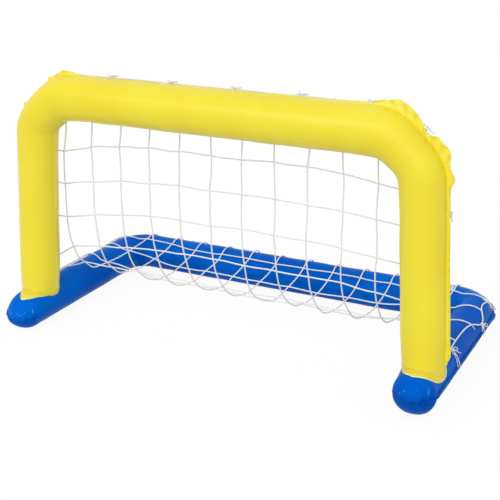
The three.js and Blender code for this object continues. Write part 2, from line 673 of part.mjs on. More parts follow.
// A tie: a loop of cord through its hole, round the edge of the margin and round the net's border.
function tieLoop(tube, u, v, steps) {
  const { near, wide, high, width, lean, angle, strandOff } = tiePlace(tube, u, v);
  const flat = (inset, rise) => {
    const share = (width - inset) / width;
    return beside(near, wide + width - inset, lean * share + rise);
  };
  const round = (off, turn) => beside(near, (wide + off) * Math.cos(turn), (high + off) * Math.sin(turn));
  const turnRound = Array.from({ length: STRAND_STEPS + 1 }, (_, k) => {
    const turn = (Math.PI * k) / STRAND_STEPS;
    const along = (LOOP_CLEAR * Math.sin(turn)) / (wide + strandOff);
    return round(strandOff + LOOP_CLEAR * Math.cos(turn), angle + along);
  });
  const run = (off, from, to) => Array.from({ length: steps + 1 }, (_, k) => {
    return round(off, angle * THREE.MathUtils.lerp(from, to, k / steps));
  });
  const points = [
    flat(HOLE_INSET, 0),
    flat(HOLE_INSET - LOOP_CLEAR, -LOOP_CLEAR),
    flat(-LOOP_CLEAR * HALF, -LOOP_CLEAR),
    flat(-LOOP_CLEAR, 0),
    flat(-LOOP_CLEAR * HALF, LOOP_CLEAR),
    ...run(strandOff + LOOP_CLEAR, KNOT_SHARE, 1).slice(0, -1),
    ...turnRound,
    ...run(strandOff - LOOP_CLEAR, 1, RETURN_SHARE).slice(1, steps + 1),
    flat(HOLE_INSET + TIE_RADIUS, LOOP_CLEAR),
  ];
  const knot = round(strandOff + LOOP_CLEAR, angle * KNOT_SHARE);
  const rings = points.map((centre, k) => {
    const way = points[(k + 1) % points.length].clone().sub(points.at(k - 1));
    const side = new THREE.Vector3().crossVectors(way, near.tangent).normalize();
    return Array.from({ length: TIE_SIDES }, (_, s) => {
      const turn = (2 * Math.PI * (s + HALF)) / TIE_SIDES;
      const place = centre.clone().addScaledVector(side, TIE_RADIUS * Math.cos(turn));
      return place.addScaledVector(near.tangent, TIE_RADIUS * Math.sin(turn));
    });
  });
  const bead = new THREE.IcosahedronGeometry(KNOT_RADIUS).translate(knot.x, knot.y, knot.z);
  return skin(rings, true).add(solidOf(bead));
}

// Every tie by its place in the net.
function tieList() {
  const ties = [];
  TOP_TIE_COLUMNS.forEach((column, k) => {
    ties.push([`tie_top_${k + 1}`, ARCH, column + TOP_TIE_SHARE, 0, ARCH_TIE_STEPS]);
  });
  REAR_TIE_COLUMNS.forEach((column, k) => {
    ties.push([`tie_rear_${k + 1}`, BASE, column, LAST_ROW, BASE_TIE_STEPS]);
  });
  const borders = [
    ["left", 0, CORNER_TIE_SHARE],
    ["right", LAST_COLUMN, LAST_COLUMN - CORNER_TIE_SHARE],
  ];
  borders.forEach(([side, border, near]) => {
    ties.push([`tie_arch_corner_${side}`, ARCH, near, 0, ARCH_TIE_STEPS]);
    ties.push([`tie_post_${side}`, ARCH, border, POST_TIE_ROWS, ARCH_TIE_STEPS]);
    LEG_TIE_ROWS.forEach((row, k) => {
      ties.push([`tie_leg_${side}_${k + 1}`, BASE, border, row, BASE_TIE_STEPS]);
    });
    ties.push([`tie_base_corner_${side}`, BASE, border, CORNER_TIE_ROWS, BASE_TIE_STEPS]);
  });
  return ties;
}

// A turned shape about the Y axis of a valve.
function turned(outline) {
  const points = outline.map(([radius, height]) => new THREE.Vector2(radius, height));
  return solidOf(new THREE.LatheGeometry(points, VALVE_SIDES));
}

const plate = (low, high) => {
  const size = high.clone().sub(low);
  const middle = low.clone().add(high).multiplyScalar(HALF);
  return solidOf(new THREE.BoxGeometry(size.x, size.y, size.z).translate(middle.x, middle.y, middle.z));
};

const SEAT_TOP = FIT + SEAT_THICKNESS;
const LIP_BASE = SEAT_TOP + FIT;
const LIP_TOP = LIP_BASE + LIP_THICKNESS;
const CAP_BASE = LIP_TOP + FIT;
const CAP_TOP = CAP_BASE + CAP_THICKNESS;
const HINGE_HEIGHT = LIP_TOP + FIT * HALF;

function knuckle(from, to) {
  const bar = new THREE.CylinderGeometry(KNUCKLE_RADIUS, KNUCKLE_RADIUS, to - from, HOLE_SIDES);
  bar.rotateX(Math.PI * HALF).translate(HINGE_OFFSET, HINGE_HEIGHT, (from + to) * HALF);
  return solidOf(bar);
}

// Valve stem: a soft sleeve with a lip, and two arms that carry the plug's hinge.
function valveStem() {
  const bottom = LIP_BASE - STEM_LENGTH;
  let stem = turned([
    [STEM_BORE, bottom], [STEM_RADIUS, bottom], [STEM_RADIUS, LIP_BASE], [LIP_RADIUS, LIP_BASE],
    [LIP_RADIUS, LIP_TOP], [STEM_BORE, LIP_TOP], [STEM_BORE, bottom],
  ]);
  const inner = KNUCKLE_HALF + FIT;
  const outer = inner + ARM_WIDTH;
  [[inner, outer], [-outer, -inner]].forEach(([from, to]) => {
    const low = new THREE.Vector3(LIP_RADIUS - ARM_OVERLAP, LIP_BASE, from);
    const high = new THREE.Vector3(HINGE_OFFSET, LIP_TOP, to);
    stem = stem.add(plate(low, high)).add(knuckle(from, to));
  });
  return stem;
}

// Plug: a cap on a strap, with a peg that swings clear of the bore about the hinge.
function valvePlug() {
  const reach = HINGE_OFFSET + STEM_BORE - FIT;
  const start = HINGE_HEIGHT - CAP_BASE;
  const peg = Array.from({ length: PLUG_STEPS + 1 }, (_, k) => {
    const depth = THREE.MathUtils.lerp(PLUG_LENGTH, start, k / PLUG_STEPS);
    return [arcAcross(reach, depth) - HINGE_OFFSET, HINGE_HEIGHT - depth];
  });
  const cap = turned([
    [0, HINGE_HEIGHT - PLUG_LENGTH], ...peg, [CAP_RADIUS, CAP_BASE], [CAP_RADIUS, CAP_TOP], [0, CAP_TOP],
  ]);
  const low = new THREE.Vector3(CAP_RADIUS - ARM_OVERLAP, CAP_BASE, -KNUCKLE_HALF);
  const high = new THREE.Vector3(HINGE_OFFSET, CAP_TOP, KNUCKLE_HALF);
  return cap.add(plate(low, high)).add(knuckle(-KNUCKLE_HALF, KNUCKLE_HALF));
}

const rod = (radius, from, to) => turned([[0, from], [radius, from], [radius, to], [0, to]]);

// A valve's place: its hinge side, its way out of the chamber and its point on the chamber.
function placedFrame(hingeWay, outWay, origin) {
  const third = new THREE.Vector3().crossVectors(hingeWay, outWay);
  return new THREE.Matrix4().makeBasis(hingeWay, outWay, third).setPosition(origin);
}

function archValveFrame() {
  const height = new THREE.Vector3(-LEG_SPAN * HALF, 0, ARCH_VALVE_HEIGHT);
  const near = nearestStation(ARCH.track, height);
  const hingeWay = near.tangent.clone().negate();
  return placedFrame(hingeWay, near.lift, beside(near, 0, archRadius(near.point.z)));
}

function baseValveFrame() {
  const place = new THREE.Vector3(LEG_SPAN * HALF - BASE_VALVE_INSET, REAR_REACH, BASE_AXIS);
  const near = nearestStation(BASE.track, place);
  const [sine, cosine] = [Math.sin(BASE_VALVE_TILT), Math.cos(BASE_VALVE_TILT)];
  const outWay = near.lift.clone().multiplyScalar(cosine).addScaledVector(near.out, -sine);
  const hingeWay = near.out.clone().multiplyScalar(cosine).addScaledVector(near.lift, sine);
  return placedFrame(hingeWay, outWay, beside(near, -BASE_HALF_WIDTH * sine, BASE_HALF_HEIGHT * cosine));
}

const placed = (solid, frame) => solid.transform(frame.elements);

// The seat is a soft disc welded on the chamber, so it bends with the tube.
function valveSeat(tubeGrown, frame) {
  const shell = tubeGrown(SEAT_TOP).subtract(tubeGrown(FIT));
  const disc = rod(SEAT_RADIUS, -SEAT_RADIUS, SEAT_RADIUS);
  const bore = rod(STEM_RADIUS + FIT, -POCKET_DEPTH, POCKET_DEPTH);
  return shell.intersect(placed(disc.subtract(bore), frame));
}

function valvePocket(frame) {
  return placed(rod(STEM_RADIUS + FIT, -POCKET_DEPTH, OVERRUN), frame);
}

function archChamber(holes, pocket) {
  const margin = archMargin().subtract(holes);
  return archTube(0).add(margin).subtract(baseTube(FIT)).subtract(pocket);
}

function baseChamber(holes, pocket) {
  return baseTube(0).add(baseMargin().subtract(holes)).subtract(pocket);
}

function holesOf(tube, ties) {
  const mine = ties.filter((tie) => tie[1] === tube);
  return wasm.Manifold.union(mine.map(([, , u, v]) => tieHole(tube, u, v)));
}

const goal = new THREE.Group();
goal.name = "water_polo_goal";

function addPiece(name, solid, look) {
  const mesh = new THREE.Mesh(geometryOf(solid), new THREE.MeshStandardMaterial(look));
  mesh.name = name;
  goal.add(mesh);
}

const ties = tieList();
const archFrame = archValveFrame();
const baseFrame = baseValveFrame();
addPiece("arch_chamber", archChamber(holesOf(ARCH, ties), valvePocket(archFrame)), YELLOW);
addPiece("base_chamber", baseChamber(holesOf(BASE, ties), valvePocket(baseFrame)), BLUE);
netPanels().forEach(([name, solid]) => addPiece(name, solid, CORD_WHITE));
ties.forEach(([name, tube, u, v, steps]) => addPiece(name, tieLoop(tube, u, v, steps), CORD_WHITE));
[["arch", archTube, archFrame], ["base", baseTube, baseFrame]].forEach(([side, tubeGrown, frame]) => {
  addPiece(`${side}_valve_seat`, valveSeat(tubeGrown, frame), CLEAR_VINYL);
  addPiece(`${side}_valve_stem`, placed(valveStem(), frame), CLEAR_VINYL);
  addPiece(`${side}_valve_plug`, placed(valvePlug(), frame), CLEAR_VINYL);
});

const middle = new THREE.Box3().setFromObject(goal, true).getCenter(new THREE.Vector3());
goal.position.y = -middle.y;

export default goal;
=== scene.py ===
"""Looks of an inflatable water polo goal: yellow arch, blue base, knotted net, its ties and two valves."""
import math

import bpy
import numpy as np
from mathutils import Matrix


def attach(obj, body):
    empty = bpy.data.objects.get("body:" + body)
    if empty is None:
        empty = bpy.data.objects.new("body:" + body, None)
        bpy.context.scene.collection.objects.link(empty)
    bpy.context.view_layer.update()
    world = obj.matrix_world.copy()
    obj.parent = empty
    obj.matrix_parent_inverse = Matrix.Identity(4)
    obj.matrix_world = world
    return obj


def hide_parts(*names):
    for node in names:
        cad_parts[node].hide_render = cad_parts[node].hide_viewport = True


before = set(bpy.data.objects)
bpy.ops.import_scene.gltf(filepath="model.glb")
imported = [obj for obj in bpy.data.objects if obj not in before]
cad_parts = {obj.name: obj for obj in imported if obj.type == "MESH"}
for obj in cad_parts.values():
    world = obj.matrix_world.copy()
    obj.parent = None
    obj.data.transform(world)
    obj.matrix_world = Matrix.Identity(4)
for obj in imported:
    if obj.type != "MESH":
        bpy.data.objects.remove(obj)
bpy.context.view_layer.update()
rng = np.random.default_rng(7)

# Sizes, in metres. The layout starts at the floor point midway between the posts.
SHIFT = np.array([0, -0.24994579, 0])
FILM = 0.0009

# The arch, and how its corners are fuller inside and drawn in outside
BAR_SPAN, BAR_HEIGHT, BAR_RADIUS = 1.170, 0.715, 0.064
POST_RADIUS, POST_FOOT_RADIUS, POST_TAPER = 0.060, 0.055, 0.130
ARCH_BEND = 0.120
CORNER_FULL, CORNER_REACH = 0.012, 0.085
CORNER_DRAW, CORNER_TURN = 0.0150, math.radians(17)
CALM_RUN, CALM_SHARE, WELD_LINE, HAIR = 0.03, 0.25, 0.030, 1e-9

# The base, and how its legs swell and settle by the posts' feet
LEG_SPAN, REAR_REACH, FOOT_REACH = 1.246, 0.556, 0.136
BASE_WIDE, BASE_HIGH, BASE_BEND, BASE_FLAT = 0.058, 0.056, 0.080, 0.0015
TIP_LENGTH, TIP_ROUND = 0.060, 1.25
# The tips' creases: pitch, depth, the depth at which their painted shade is full, and sharpness
SPOKE_PITCH, SPOKE_DEPTH, SPOKE_SHADE, SPOKE_SHARP = 0.017, 0.0026, 0.0028, 0.7
SPOKE_UP, SPOKE_DOWN, SPOKE_FADE = 0.40, 0.80, 1.6  # how far the tips' creases reach up and down
TIP_RADIUS, TIP_APART = 0.059, 0.9
FOOT_SWELL, FOOT_BULGE, FOOT_SQUAT = 0.14, 0.07, 0.27

# The flap and hem round each post's foot
FLANGE_FRONT, FLANGE_REAR, FLANGE_LEFT_EDGE = 0.093, 0.060, 0.047
FLANGE_OUTSIDE, FLANGE_LEFT_OUTSIDE, FLANGE_INSIDE = math.radians(73), math.radians(52), math.radians(54)
FLANGE_ROOT, FLANGE_ROOT_INSIDE, FLANGE_START, FLANGE_OFF = 0.88, 0.70, 0.050, 0.0004
FLANGE_WANDER, FLANGE_WANDER_PITCH, FLANGE_RADIUS = 0.012, 0.05, 0.07
FLANGE_SPAN, FLANGE_SPAN_MORE = 0.028, 0.02
HEM_WIDTH, HEM_THICKNESS, HEM_LOW, HEM_SWING = 0.022, 0.0008, 0.28, 0.45
HEM_SWELL, HEM_SWELL_PITCH, HEM_WANDER, HEM_WANDER_PITCH = 0.35, 0.021, 0.03, 0.05
BEAD_RADIUS, BEAD_OFF, BEAD_SWELL, BEAD_PITCH, BEAD_SIDES = 0.0014, 0.0006, 0.18, 0.016, 10
# Sections of the hem, in metres up it, and of the flange, in shares of its width, each with the height over
# the film in thicknesses
HEM_SECTION = ((0.0005, -0.0006), (0.0005, 0.6), (0.0012, 1.0), (0.008, 1.0), (0.015, 1.0),
               (HEM_WIDTH - 0.0006, 1.0), (HEM_WIDTH, 0.7), (HEM_WIDTH, -0.4), (0.012, -0.5))
FLANGE_SECTION = ((0, 1), (0.2, 1), (0.4, 1), (0.6, 1), (0.8, 1), (0.97, 1), (1.0, 0.6),
                  (1.0, -0.6), (0.8, -1), (0.6, -1), (0.4, -1), (0.2, -1), (0, -1))

# The margins. The arch's: degrees round the bend, width in mm, degrees that it leans back over the tube.
BASE_MARGIN, BASE_CORNER_MARGIN, TIP_MARGIN = 0.008, 0.015, 0.0030
MARGIN_ROOT, EDGE_UNEVEN, BILLOW = 0.003, 0.0007, 0.0010
CREASE_PITCH, CREASE_SLIGHT, CREASE_DEEP = 0.021, 0.0003, 0.0036
NOTCH_REACH, NOTCH_SHARE, SCALLOP_PITCH, SCALLOP = 0.006, 0.12, 0.020, 0.0035
EDGE_PITCH, BILLOW_PITCH, CREASE_SLANT, BASE_MARGIN_LEAN = 0.05, 0.23, 0.01, 0.25
MARGIN_SUNK, MARGIN_START, MARGIN_COLUMNS = 0.004, 0.3, 9
LEFT_EDGE = ((-12, 9, 75), (18, 9, 75), (26, 13, 15), (34, 10, 70), (60, 10, 78), (67, 9, 10), (73, 7, 50),
             (76, 9, 30), (83, 14, 0), (91, 11, 15), (101, 9, 50), (112, 9, 80))
RIGHT_EDGE = ((-60, 9, 70), (-12, 10, 50), (4, 17, 15), (14, 30, 0), (27, 27, 0), (38, 17, 0), (44.6, 9, 0),
              (52, 25, 0), (63, 30, 0), (76, 15, 0), (85, 21, 0), (95, 11, 0), (108, 10, 0),
              (170, 10, 0), (285, 12, 0), (310, 15, 0), (322, 7, 0))

# The net: its cells, where it touches the tubes, and how its curtain droops and its floor sags
CORD_RADIUS, CORD_FULL = 0.0012, 1.75
CELL_WIDTH, CELL_HEIGHT, NET_COLUMNS, CURTAIN_ROWS = 0.100, 0.104, 14, 4
NET_STANDOFF, FIRST_ROW_DROP, LEG_START_ROWS, LEG_START = 0.0044, 0.040, 5.5, 0.105
SAG_FRONT_RUN, SAG_FRONT_HEIGHT, SAG_REAR_RUN, SAG_REAR_HEIGHT = 0.020, 0.060, 0.197, 0.040
CREST_RUN, BORDER_DRAW, BORDER_DRAW_HEIGHT = 0.039, 0.080, 0.170
CURTAIN_RISE, DROOP_LEFT, DROOP_RIGHT = 0.007, 0.047, 0.030
TOP_DRAW, CURTAIN_DRAW_LEFT = 0.973, 0.965
SAG_SHARES = [0, 0.14, 0.33, 0.58, 0.81, 1]
LEG_SHARES = [0.155, 0.46, 0.712, 0.875, 1]
LIFT_SHARE, LIFT_COLUMNS = 0.75, 2
BORDER_DROOP, DROOP_ROWS, DROOP_END, TIE_PULL_ROWS = 0.3, 1.6, 0.6, 0.45
STEPS_PER_CELL = 12
BORDER_SLACK, COLUMN_SLACK, ROW_SLACK = 0.0005, 0.0012, 0.0014  # how far cords bow between knots
CORD_GAP, KNOT_CORD, NET_KNOT, TIE_KNOT = 0.0013, 0.0010, 0.0018, 0.0026
TAIL_LENGTHS, TAIL_CLEAR, TAIL_BEND, TAIL_DROP, TAIL_THICK = (0.010, 0.019), 0.0014, 0.3, -0.004, 0.9

# The ties
LEG_TIE_ROWS, TIE_PULL = (7.5, 9.5), math.radians(31)
ARCH_TIE_ANGLE, BASE_TIE_ANGLE, REAR_TIE_ANGLE = math.radians(14), math.radians(57), math.radians(40)
TIE_RADIUS, LOOP_CLEAR, RUN_SHARE, RETURN_SHARE = 0.0012, 0.0032, 0.35, 0.1
CORD_END, CORD_END_SIZE = 0.6, 0.35  # a cord's last ring, as shares of its radius
BASE_KNOT_SHARE, ARCH_KNOT_SHARE, ARCH_BOW_SIZE = 0.92, 1.5, 0.7
LOOSE_CLEAR, LOOP_RISE, EDGE_CLEAR = 0.0012, 0.0016, 0.0006
BOW_LENGTHS, BOW_SPREADS, BOW_RISE, BOW_ARCH = (0.017, 0.024), (0.0045, 0.0065), 0.001, 0.003
END_LENGTHS, END_CURL, END_TURN, END_RISE = (0.016, 0.034), 0.006, 2.4, 0.0015
LAY_LENGTH = 0.0045  # of the cord, from ply to ply

# The valves
ARCH_VALVE_HEIGHT, BASE_VALVE_INSET, BASE_VALVE_TILT = 0.312, 0.093, math.radians(10)
SEAT_RADIUS, SEAT_BORE, SEAT_THICK = 0.017, 0.0070, 0.0011
STEM_RADIUS, STEM_BORE, STEM_LENGTH = 0.0066, 0.0044, 0.015
LIP_RADIUS, LIP_BASE, LIP_TOP = 0.0078, 0.0018, 0.0031
CAP_RADIUS, CAP_BASE, CAP_TOP = 0.0072, 0.0035, 0.0050
PLUG_LENGTH, HINGE_OFFSET, HINGE_HEIGHT = 0.008, 0.0104, 0.0033
KNUCKLE_RADIUS, KNUCKLE_HALF, ARM_WIDTH = 0.0012, 0.0020, 0.0020
POCKET_INNER, POCKET_OUTER, POCKET_DEPTH, DIP_RADIUS = 0.0071, 0.0077, 0.0246, 0.0098
ROLLED_EDGE, EASE, HINGE_PLAY, PEG_CLEAR, ARM_ROOT = 0.0004, 0.0003, 0.0004, 0.0004, 0.0015
STEM_FLOOR, STEM_FLOOR_TOP, STEM_FLOOR_UNDER, FLOOR_LAP = 0.003, 0.0034, 0.0024, 0.0003
POCKET_FLOOR, POCKET_FLARE, POCKET_RIM, POCKET_NECK = -0.024, 0.0088, 0.0002, -0.001
POLE = 0.0001  # radius of the ring that closes a turned shape
# Sections by radius and height: the dish in the plug's top, and the seat with its raised inner ring
CAP_DISH = ((CAP_RADIUS - 0.0016, CAP_TOP - 0.0001), (CAP_RADIUS - 0.0022, CAP_TOP - 0.0005),
            (0.0018, CAP_TOP - 0.0006), (POLE, CAP_TOP - 0.0006))
SEAT_SECTION = ((SEAT_BORE, 0.0004), (SEAT_BORE, SEAT_THICK), (0.0078, 0.0014), (0.0105, 0.0014),
                (0.0110, SEAT_THICK), (0.0150, SEAT_THICK), (SEAT_RADIUS - 0.0008, SEAT_THICK),
                (SEAT_RADIUS, 0.0007), (SEAT_RADIUS, -0.0001), (SEAT_BORE + 0.001, -0.0002))

# How finely the shapes are drawn: distance between rings, and points round a section
RING_STEP, MARGIN_STEP, LINE_STEP = 0.006, 0.003, 0.012
ARCH_SIDES, BASE_SIDES, FLANGE_SIDES, SEAT_SIDES, TURNED_SIDES, ROD_SIDES = 152, 160, 160, 64, 48, 20

# Lengths that follow
BACK, UP = np.array([0.0, 1, 0]), np.array([0.0, 0, 1])
BASE_AXIS = BASE_HIGH - BASE_FLAT
HALF_LEGS, HALF_BAR = LEG_SPAN / 2, BAR_SPAN / 2
SPLAY = math.atan2(HALF_LEGS - HALF_BAR, BAR_HEIGHT - BASE_AXIS)
ARCH_BEND_X = HALF_BAR - ARCH_BEND * math.tan((math.pi / 2 - SPLAY) / 2)
ARCH_BEND_Z = BAR_HEIGHT - ARCH_BEND
BASE_BEND_X, BASE_BEND_Y = HALF_LEGS - BASE_BEND, REAR_REACH - BASE_BEND
LAST_COLUMN = NET_COLUMNS - 1
MIDDLE_COLUMN = LAST_COLUMN / 2
INNER_COLUMN = MIDDLE_COLUMN - 1
CREST_ROW = CURTAIN_ROWS + len(SAG_SHARES) - 1
LAST_ROW = CREST_ROW + 1
LEG_ROW = LAST_ROW - len(LEG_SHARES) + 1
CURTAIN_BACK = BAR_RADIUS + NET_STANDOFF
CURTAIN_TOP = BAR_HEIGHT - FIRST_ROW_DROP
CURTAIN_FOOT = CURTAIN_TOP - (CURTAIN_ROWS - 1) * CELL_HEIGHT
BORDER_OUT = (BASE_WIDE + NET_STANDOFF) * math.cos(BASE_TIE_ANGLE)
BORDER_HEIGHT = BASE_AXIS + (BASE_HIGH + NET_STANDOFF) * math.sin(BASE_TIE_ANGLE)


# Arrays
def unit(v):
    """Vectors at length one."""
    return v / np.maximum(np.linalg.norm(v, axis=-1, keepdims=True), 1e-12)


def smooth(t):
    """Nothing below zero, one above one, eased between."""
    t = np.clip(t, 0, 1)
    return t * t * (3 - 2 * t)


def mix(a, b, t):
    """From a to b by the share t."""
    return a + (b - a) * t


def swung(a, b, angle):
    """Ways turned from a towards b, which is square to it, by an angle."""
    return a * np.cos(angle)[..., None] + b * np.sin(angle)[..., None]


def full_turn(count):
    """Angles evenly round a circle."""
    return 2 * math.pi * np.arange(count) / count


def waves(x, pitch, seed, powers=(1, 0.63, 0.41)):
    """Uneven wave along x: three sines of shortening pitch with their own phases, between -1 and 1."""
    phases = np.random.default_rng(seed).uniform(0, 2 * math.pi, len(powers))
    total = sum(p * np.sin(2 * math.pi * x / (pitch * p) + f) for p, f in zip(powers, phases))
    return total / sum(powers)


def centre_line(corners, bend, lift, spacing):
    """Straight runs joined by round bends, as points, directions, ways out and share of the bend passed."""
    corners = np.array(corners, float)
    start, points, ways, shares = corners[0], [corners[:1]], [unit(corners[1:2] - corners[:1])], [np.zeros(1)]
    for c in range(1, len(corners)):
        way = unit(corners[c] - corners[c - 1])
        final = c + 1 == len(corners)
        turn = 0 if final else math.acos(float(way @ unit(corners[c + 1] - corners[c])))
        end = corners[c] - way * bend * math.tan(turn / 2)
        steps = max(2, math.ceil(np.linalg.norm(end - start) / spacing))
        t = np.arange(1, steps + 1)[:, None] / steps
        points.append(mix(start, end, t))
        ways.append(np.repeat(way[None], steps, 0))
        shares.append(np.zeros(steps))
        if not final:
            out = np.cross(way, lift)
            steps = math.ceil(turn * (bend + 0.06) / spacing)
            angle = turn * np.arange(1, steps + 1) / steps
            points.append(end - out * bend + swung(out, way, angle) * bend)
            ways.append(swung(way, -out, angle))
            shares.append(angle / turn)
            start = points[-1][-1]
    point, way, share = np.concatenate(points), np.concatenate(ways), np.concatenate(shares)
    along = np.concatenate([[0], np.cumsum(np.linalg.norm(np.diff(point, axis=0), axis=1))])
    gather = np.sqrt(np.clip(np.sin(math.pi * share), 0, None))
    return {"point": point, "way": way, "out": np.cross(way, lift), "lift": np.array(lift, float),
            "gather": gather, "along": along}


def arch_line(spacing):
    """The arch's centre line from the left foot over the bar to the right foot."""
    corners = [(-HALF_LEGS, 0, BASE_AXIS), (-HALF_BAR, 0, BAR_HEIGHT),
               (HALF_BAR, 0, BAR_HEIGHT), (HALF_LEGS, 0, BASE_AXIS)]
    return centre_line(corners, ARCH_BEND, BACK, spacing)


def base_line(spacing):
    """The base's centre line from the right leg's tip round the back to the left leg's tip."""
    corners = [(HALF_LEGS, -FOOT_REACH, BASE_AXIS), (HALF_LEGS, REAR_REACH, BASE_AXIS),
               (-HALF_LEGS, REAR_REACH, BASE_AXIS), (-HALF_LEGS, -FOOT_REACH, BASE_AXIS)]
    return centre_line(corners, BASE_BEND, UP, spacing)


def arch_radius(height):
    """The arch's radius at a height: slimmer at the foot, fuller in the bar."""
    foot = mix(POST_FOOT_RADIUS, POST_RADIUS, smooth((height - BASE_AXIS) / POST_TAPER))
    return foot + (BAR_RADIUS - POST_RADIUS) * smooth((height - ARCH_BEND_Z) / ARCH_BEND)


ARCH = {"line": arch_line(LINE_STEP), "hole": 0.0045}
BASE = {"line": base_line(LINE_STEP), "hole": 0.004}
POST_RUN = (math.hypot(HALF_LEGS - HALF_BAR, BAR_HEIGHT - BASE_AXIS)
            - ARCH_BEND * math.tan((math.pi / 2 - SPLAY) / 2))


def eased_table(x, places, values):
    """A value that goes from one place to the next in even slopes, level at each place."""
    k = np.clip(np.searchsorted(places, x) - 1, 0, len(places) - 2)
    t = smooth((x - places[k]) / (places[k + 1] - places[k]))
    return mix(values[k], values[k + 1], t)


def arch_edge():
    """Width and lean of the arch's margin against the distance along it."""
    total = ARCH["line"]["along"][-1]
    turn = math.pi / 2 - SPLAY
    right_start = total - POST_RUN - ARCH_BEND * turn
    rows = []
    for start, edge in ((POST_RUN, LEFT_EDGE), (right_start, RIGHT_EDGE)):
        rows += [(start + ARCH_BEND * math.radians(degrees), width / 1000, math.radians(lean))
                 for degrees, width, lean in edge]
    return np.array(rows).T


ARCH_EDGE = arch_edge()


def section(tube, point):
    """Half width and half height of a tube at points of its centre line."""
    if tube is ARCH:
        radius = arch_radius(point[..., 2])
        return radius, radius
    shape = np.ones(point.shape[:-1])
    return BASE_WIDE * shape, BASE_HIGH * shape


def nearest(tube, points):
    """Nearest places on a centre line, by the foot of the perpendicular on each of its segments."""
    line = tube["line"]
    a, run = line["point"][:-1], np.diff(line["point"], axis=0)
    offset = points[:, None] - a[None]
    t = np.clip((offset * run).sum(-1) / (run * run).sum(-1), 0, 1)
    gap = np.linalg.norm(offset - t[..., None] * run, axis=-1)
    k = gap.argmin(1)
    t = t[np.arange(len(points)), k][:, None]
    found = {name: mix(line[name][k], line[name][k + 1], t) for name in ("point", "way")}
    found["way"] = unit(found["way"])
    found["out"] = np.cross(found["way"], line["lift"])
    for name in ("gather", "along"):
        found[name] = mix(line[name][k], line[name][k + 1], t[:, 0])
    found["lift"] = line["lift"]
    return found


def in_section(tube, points, standoff=NET_STANDOFF):
    """Where points lie in the section of a tube: outward, upward and reach as a share of the standoff
    ellipse."""
    near = nearest(tube, points)
    wide, high = section(tube, near["point"])
    offset = points - near["point"]
    outward, upward = (offset * near["out"]).sum(-1), (offset * near["lift"]).sum(-1)
    reach = np.hypot(outward / (wide + standoff), upward / (high + standoff))
    return near, wide, high, outward, upward, reach


def beside(near, outward, upward):
    """Points so far out and so far up from places on a centre line."""
    return (near["point"] + near["out"] * np.asarray(outward)[..., None]
            + near["lift"] * np.asarray(upward)[..., None])


def clear_of(tube, points, standoff=NET_STANDOFF):
    """Points inside the standoff ellipse move straight out to it."""
    near, _, _, outward, upward, reach = in_section(tube, points, standoff)
    scale = 1 / np.clip(reach, 1e-6, 1)
    return np.where((reach < 1)[:, None], beside(near, outward * scale, upward * scale), points)


def clear_of_both(points, standoff=NET_STANDOFF):
    """The same, for both tubes."""
    return clear_of(BASE, clear_of(ARCH, points, standoff), standoff)


# Meshes
def in_scene(name, data):
    made = bpy.data.objects.new(name, data)
    bpy.context.scene.collection.objects.link(made)
    return made


def mesh_object(name, verts, faces, mat, uv=None, fields=None):
    """A piece from arrays of points and faces, moved from the layout to the shared frame."""
    data = bpy.data.meshes.new(name)
    verts = np.asarray(verts, float) + SHIFT
    faces = np.asarray(faces, np.int32)
    data.vertices.add(len(verts))
    data.vertices.foreach_set("co", verts.astype(np.float32).ravel())
    data.loops.add(faces.size)
    data.loops.foreach_set("vertex_index", faces.ravel())
    data.polygons.add(len(faces))
    data.polygons.foreach_set("loop_start", np.arange(0, faces.size, faces.shape[1], dtype=np.int32))
    data.update(calc_edges=True)
    data.validate()
    data.polygons.foreach_set("use_smooth", np.ones(len(data.polygons), bool))
    if uv is not None:
        layer = data.uv_layers.new(name="UVMap")
        layer.data.foreach_set("uv", np.asarray(uv, np.float32)[faces.ravel()].ravel())
    for key, values in (fields or {}).items():
        values = np.asarray(values, np.float32).ravel()
        data.attributes.new(key, "FLOAT", "POINT").data.foreach_set("value", values)
    data.materials.append(mat)
    return in_scene(name, data)


def grid_faces(rows, columns, close_rows=False, close_columns=True, flip=False):
    """Four-sided faces of a grid of rows by columns, closed on itself in either direction."""
    r = np.arange(rows if close_rows else rows - 1)[:, None]
    c = np.arange(columns if close_columns else columns - 1)[None]
    r2, c2 = (r + 1) % rows, (c + 1) % columns
    corners = [r * columns + c, r * columns + c2, r2 * columns + c2, r2 * columns + c]
    if flip:
        corners = corners[::-1]
    return np.stack([np.broadcast_to(k, (r.size, c.size)).ravel() for k in corners], 1)


def lay_grid(points, **closing):
    """A grid of points as a list of vertices and its faces."""
    rows, columns = points.shape[:2]
    return points.reshape(-1, 3), grid_faces(rows, columns, **closing)


def faced_out(verts, faces):
    """Faces of a closed shape turned to point out: the sum of the boxes they span with the origin is
    positive."""
    a, b, c, d = (verts[faces[:, k]] - verts[0] for k in range(4))
    spanned = (a * np.cross(b, c)).sum() + (a * np.cross(c, d)).sum()
    return faces if spanned > 0 else faces[:, ::-1]


def joined(parts):
    """Several (points, faces, uv) as one."""
    verts, faces, uvs, base = [], [], [], 0
    for v, f, uv in parts:
        verts.append(v)
        faces.append(faced_out(v, f) + base)
        uvs.append(uv)
        base += len(v)
    return np.concatenate(verts), np.concatenate(faces), np.concatenate(uvs)


def strips_over(sides):
    """Faces that close a ring of points, as narrow strips across it."""
    k = np.arange(1, sides // 2)
    return np.stack([k - 1, k, sides - 1 - k, (sides - k) % sides], 1)


def rim_caps(faces, rows, columns):
    """Flat closing faces for the first and last ring of a tube."""
    strips = strips_over(columns)
    return np.concatenate([faces, strips[:, ::-1], (rows - 1) * columns + strips])


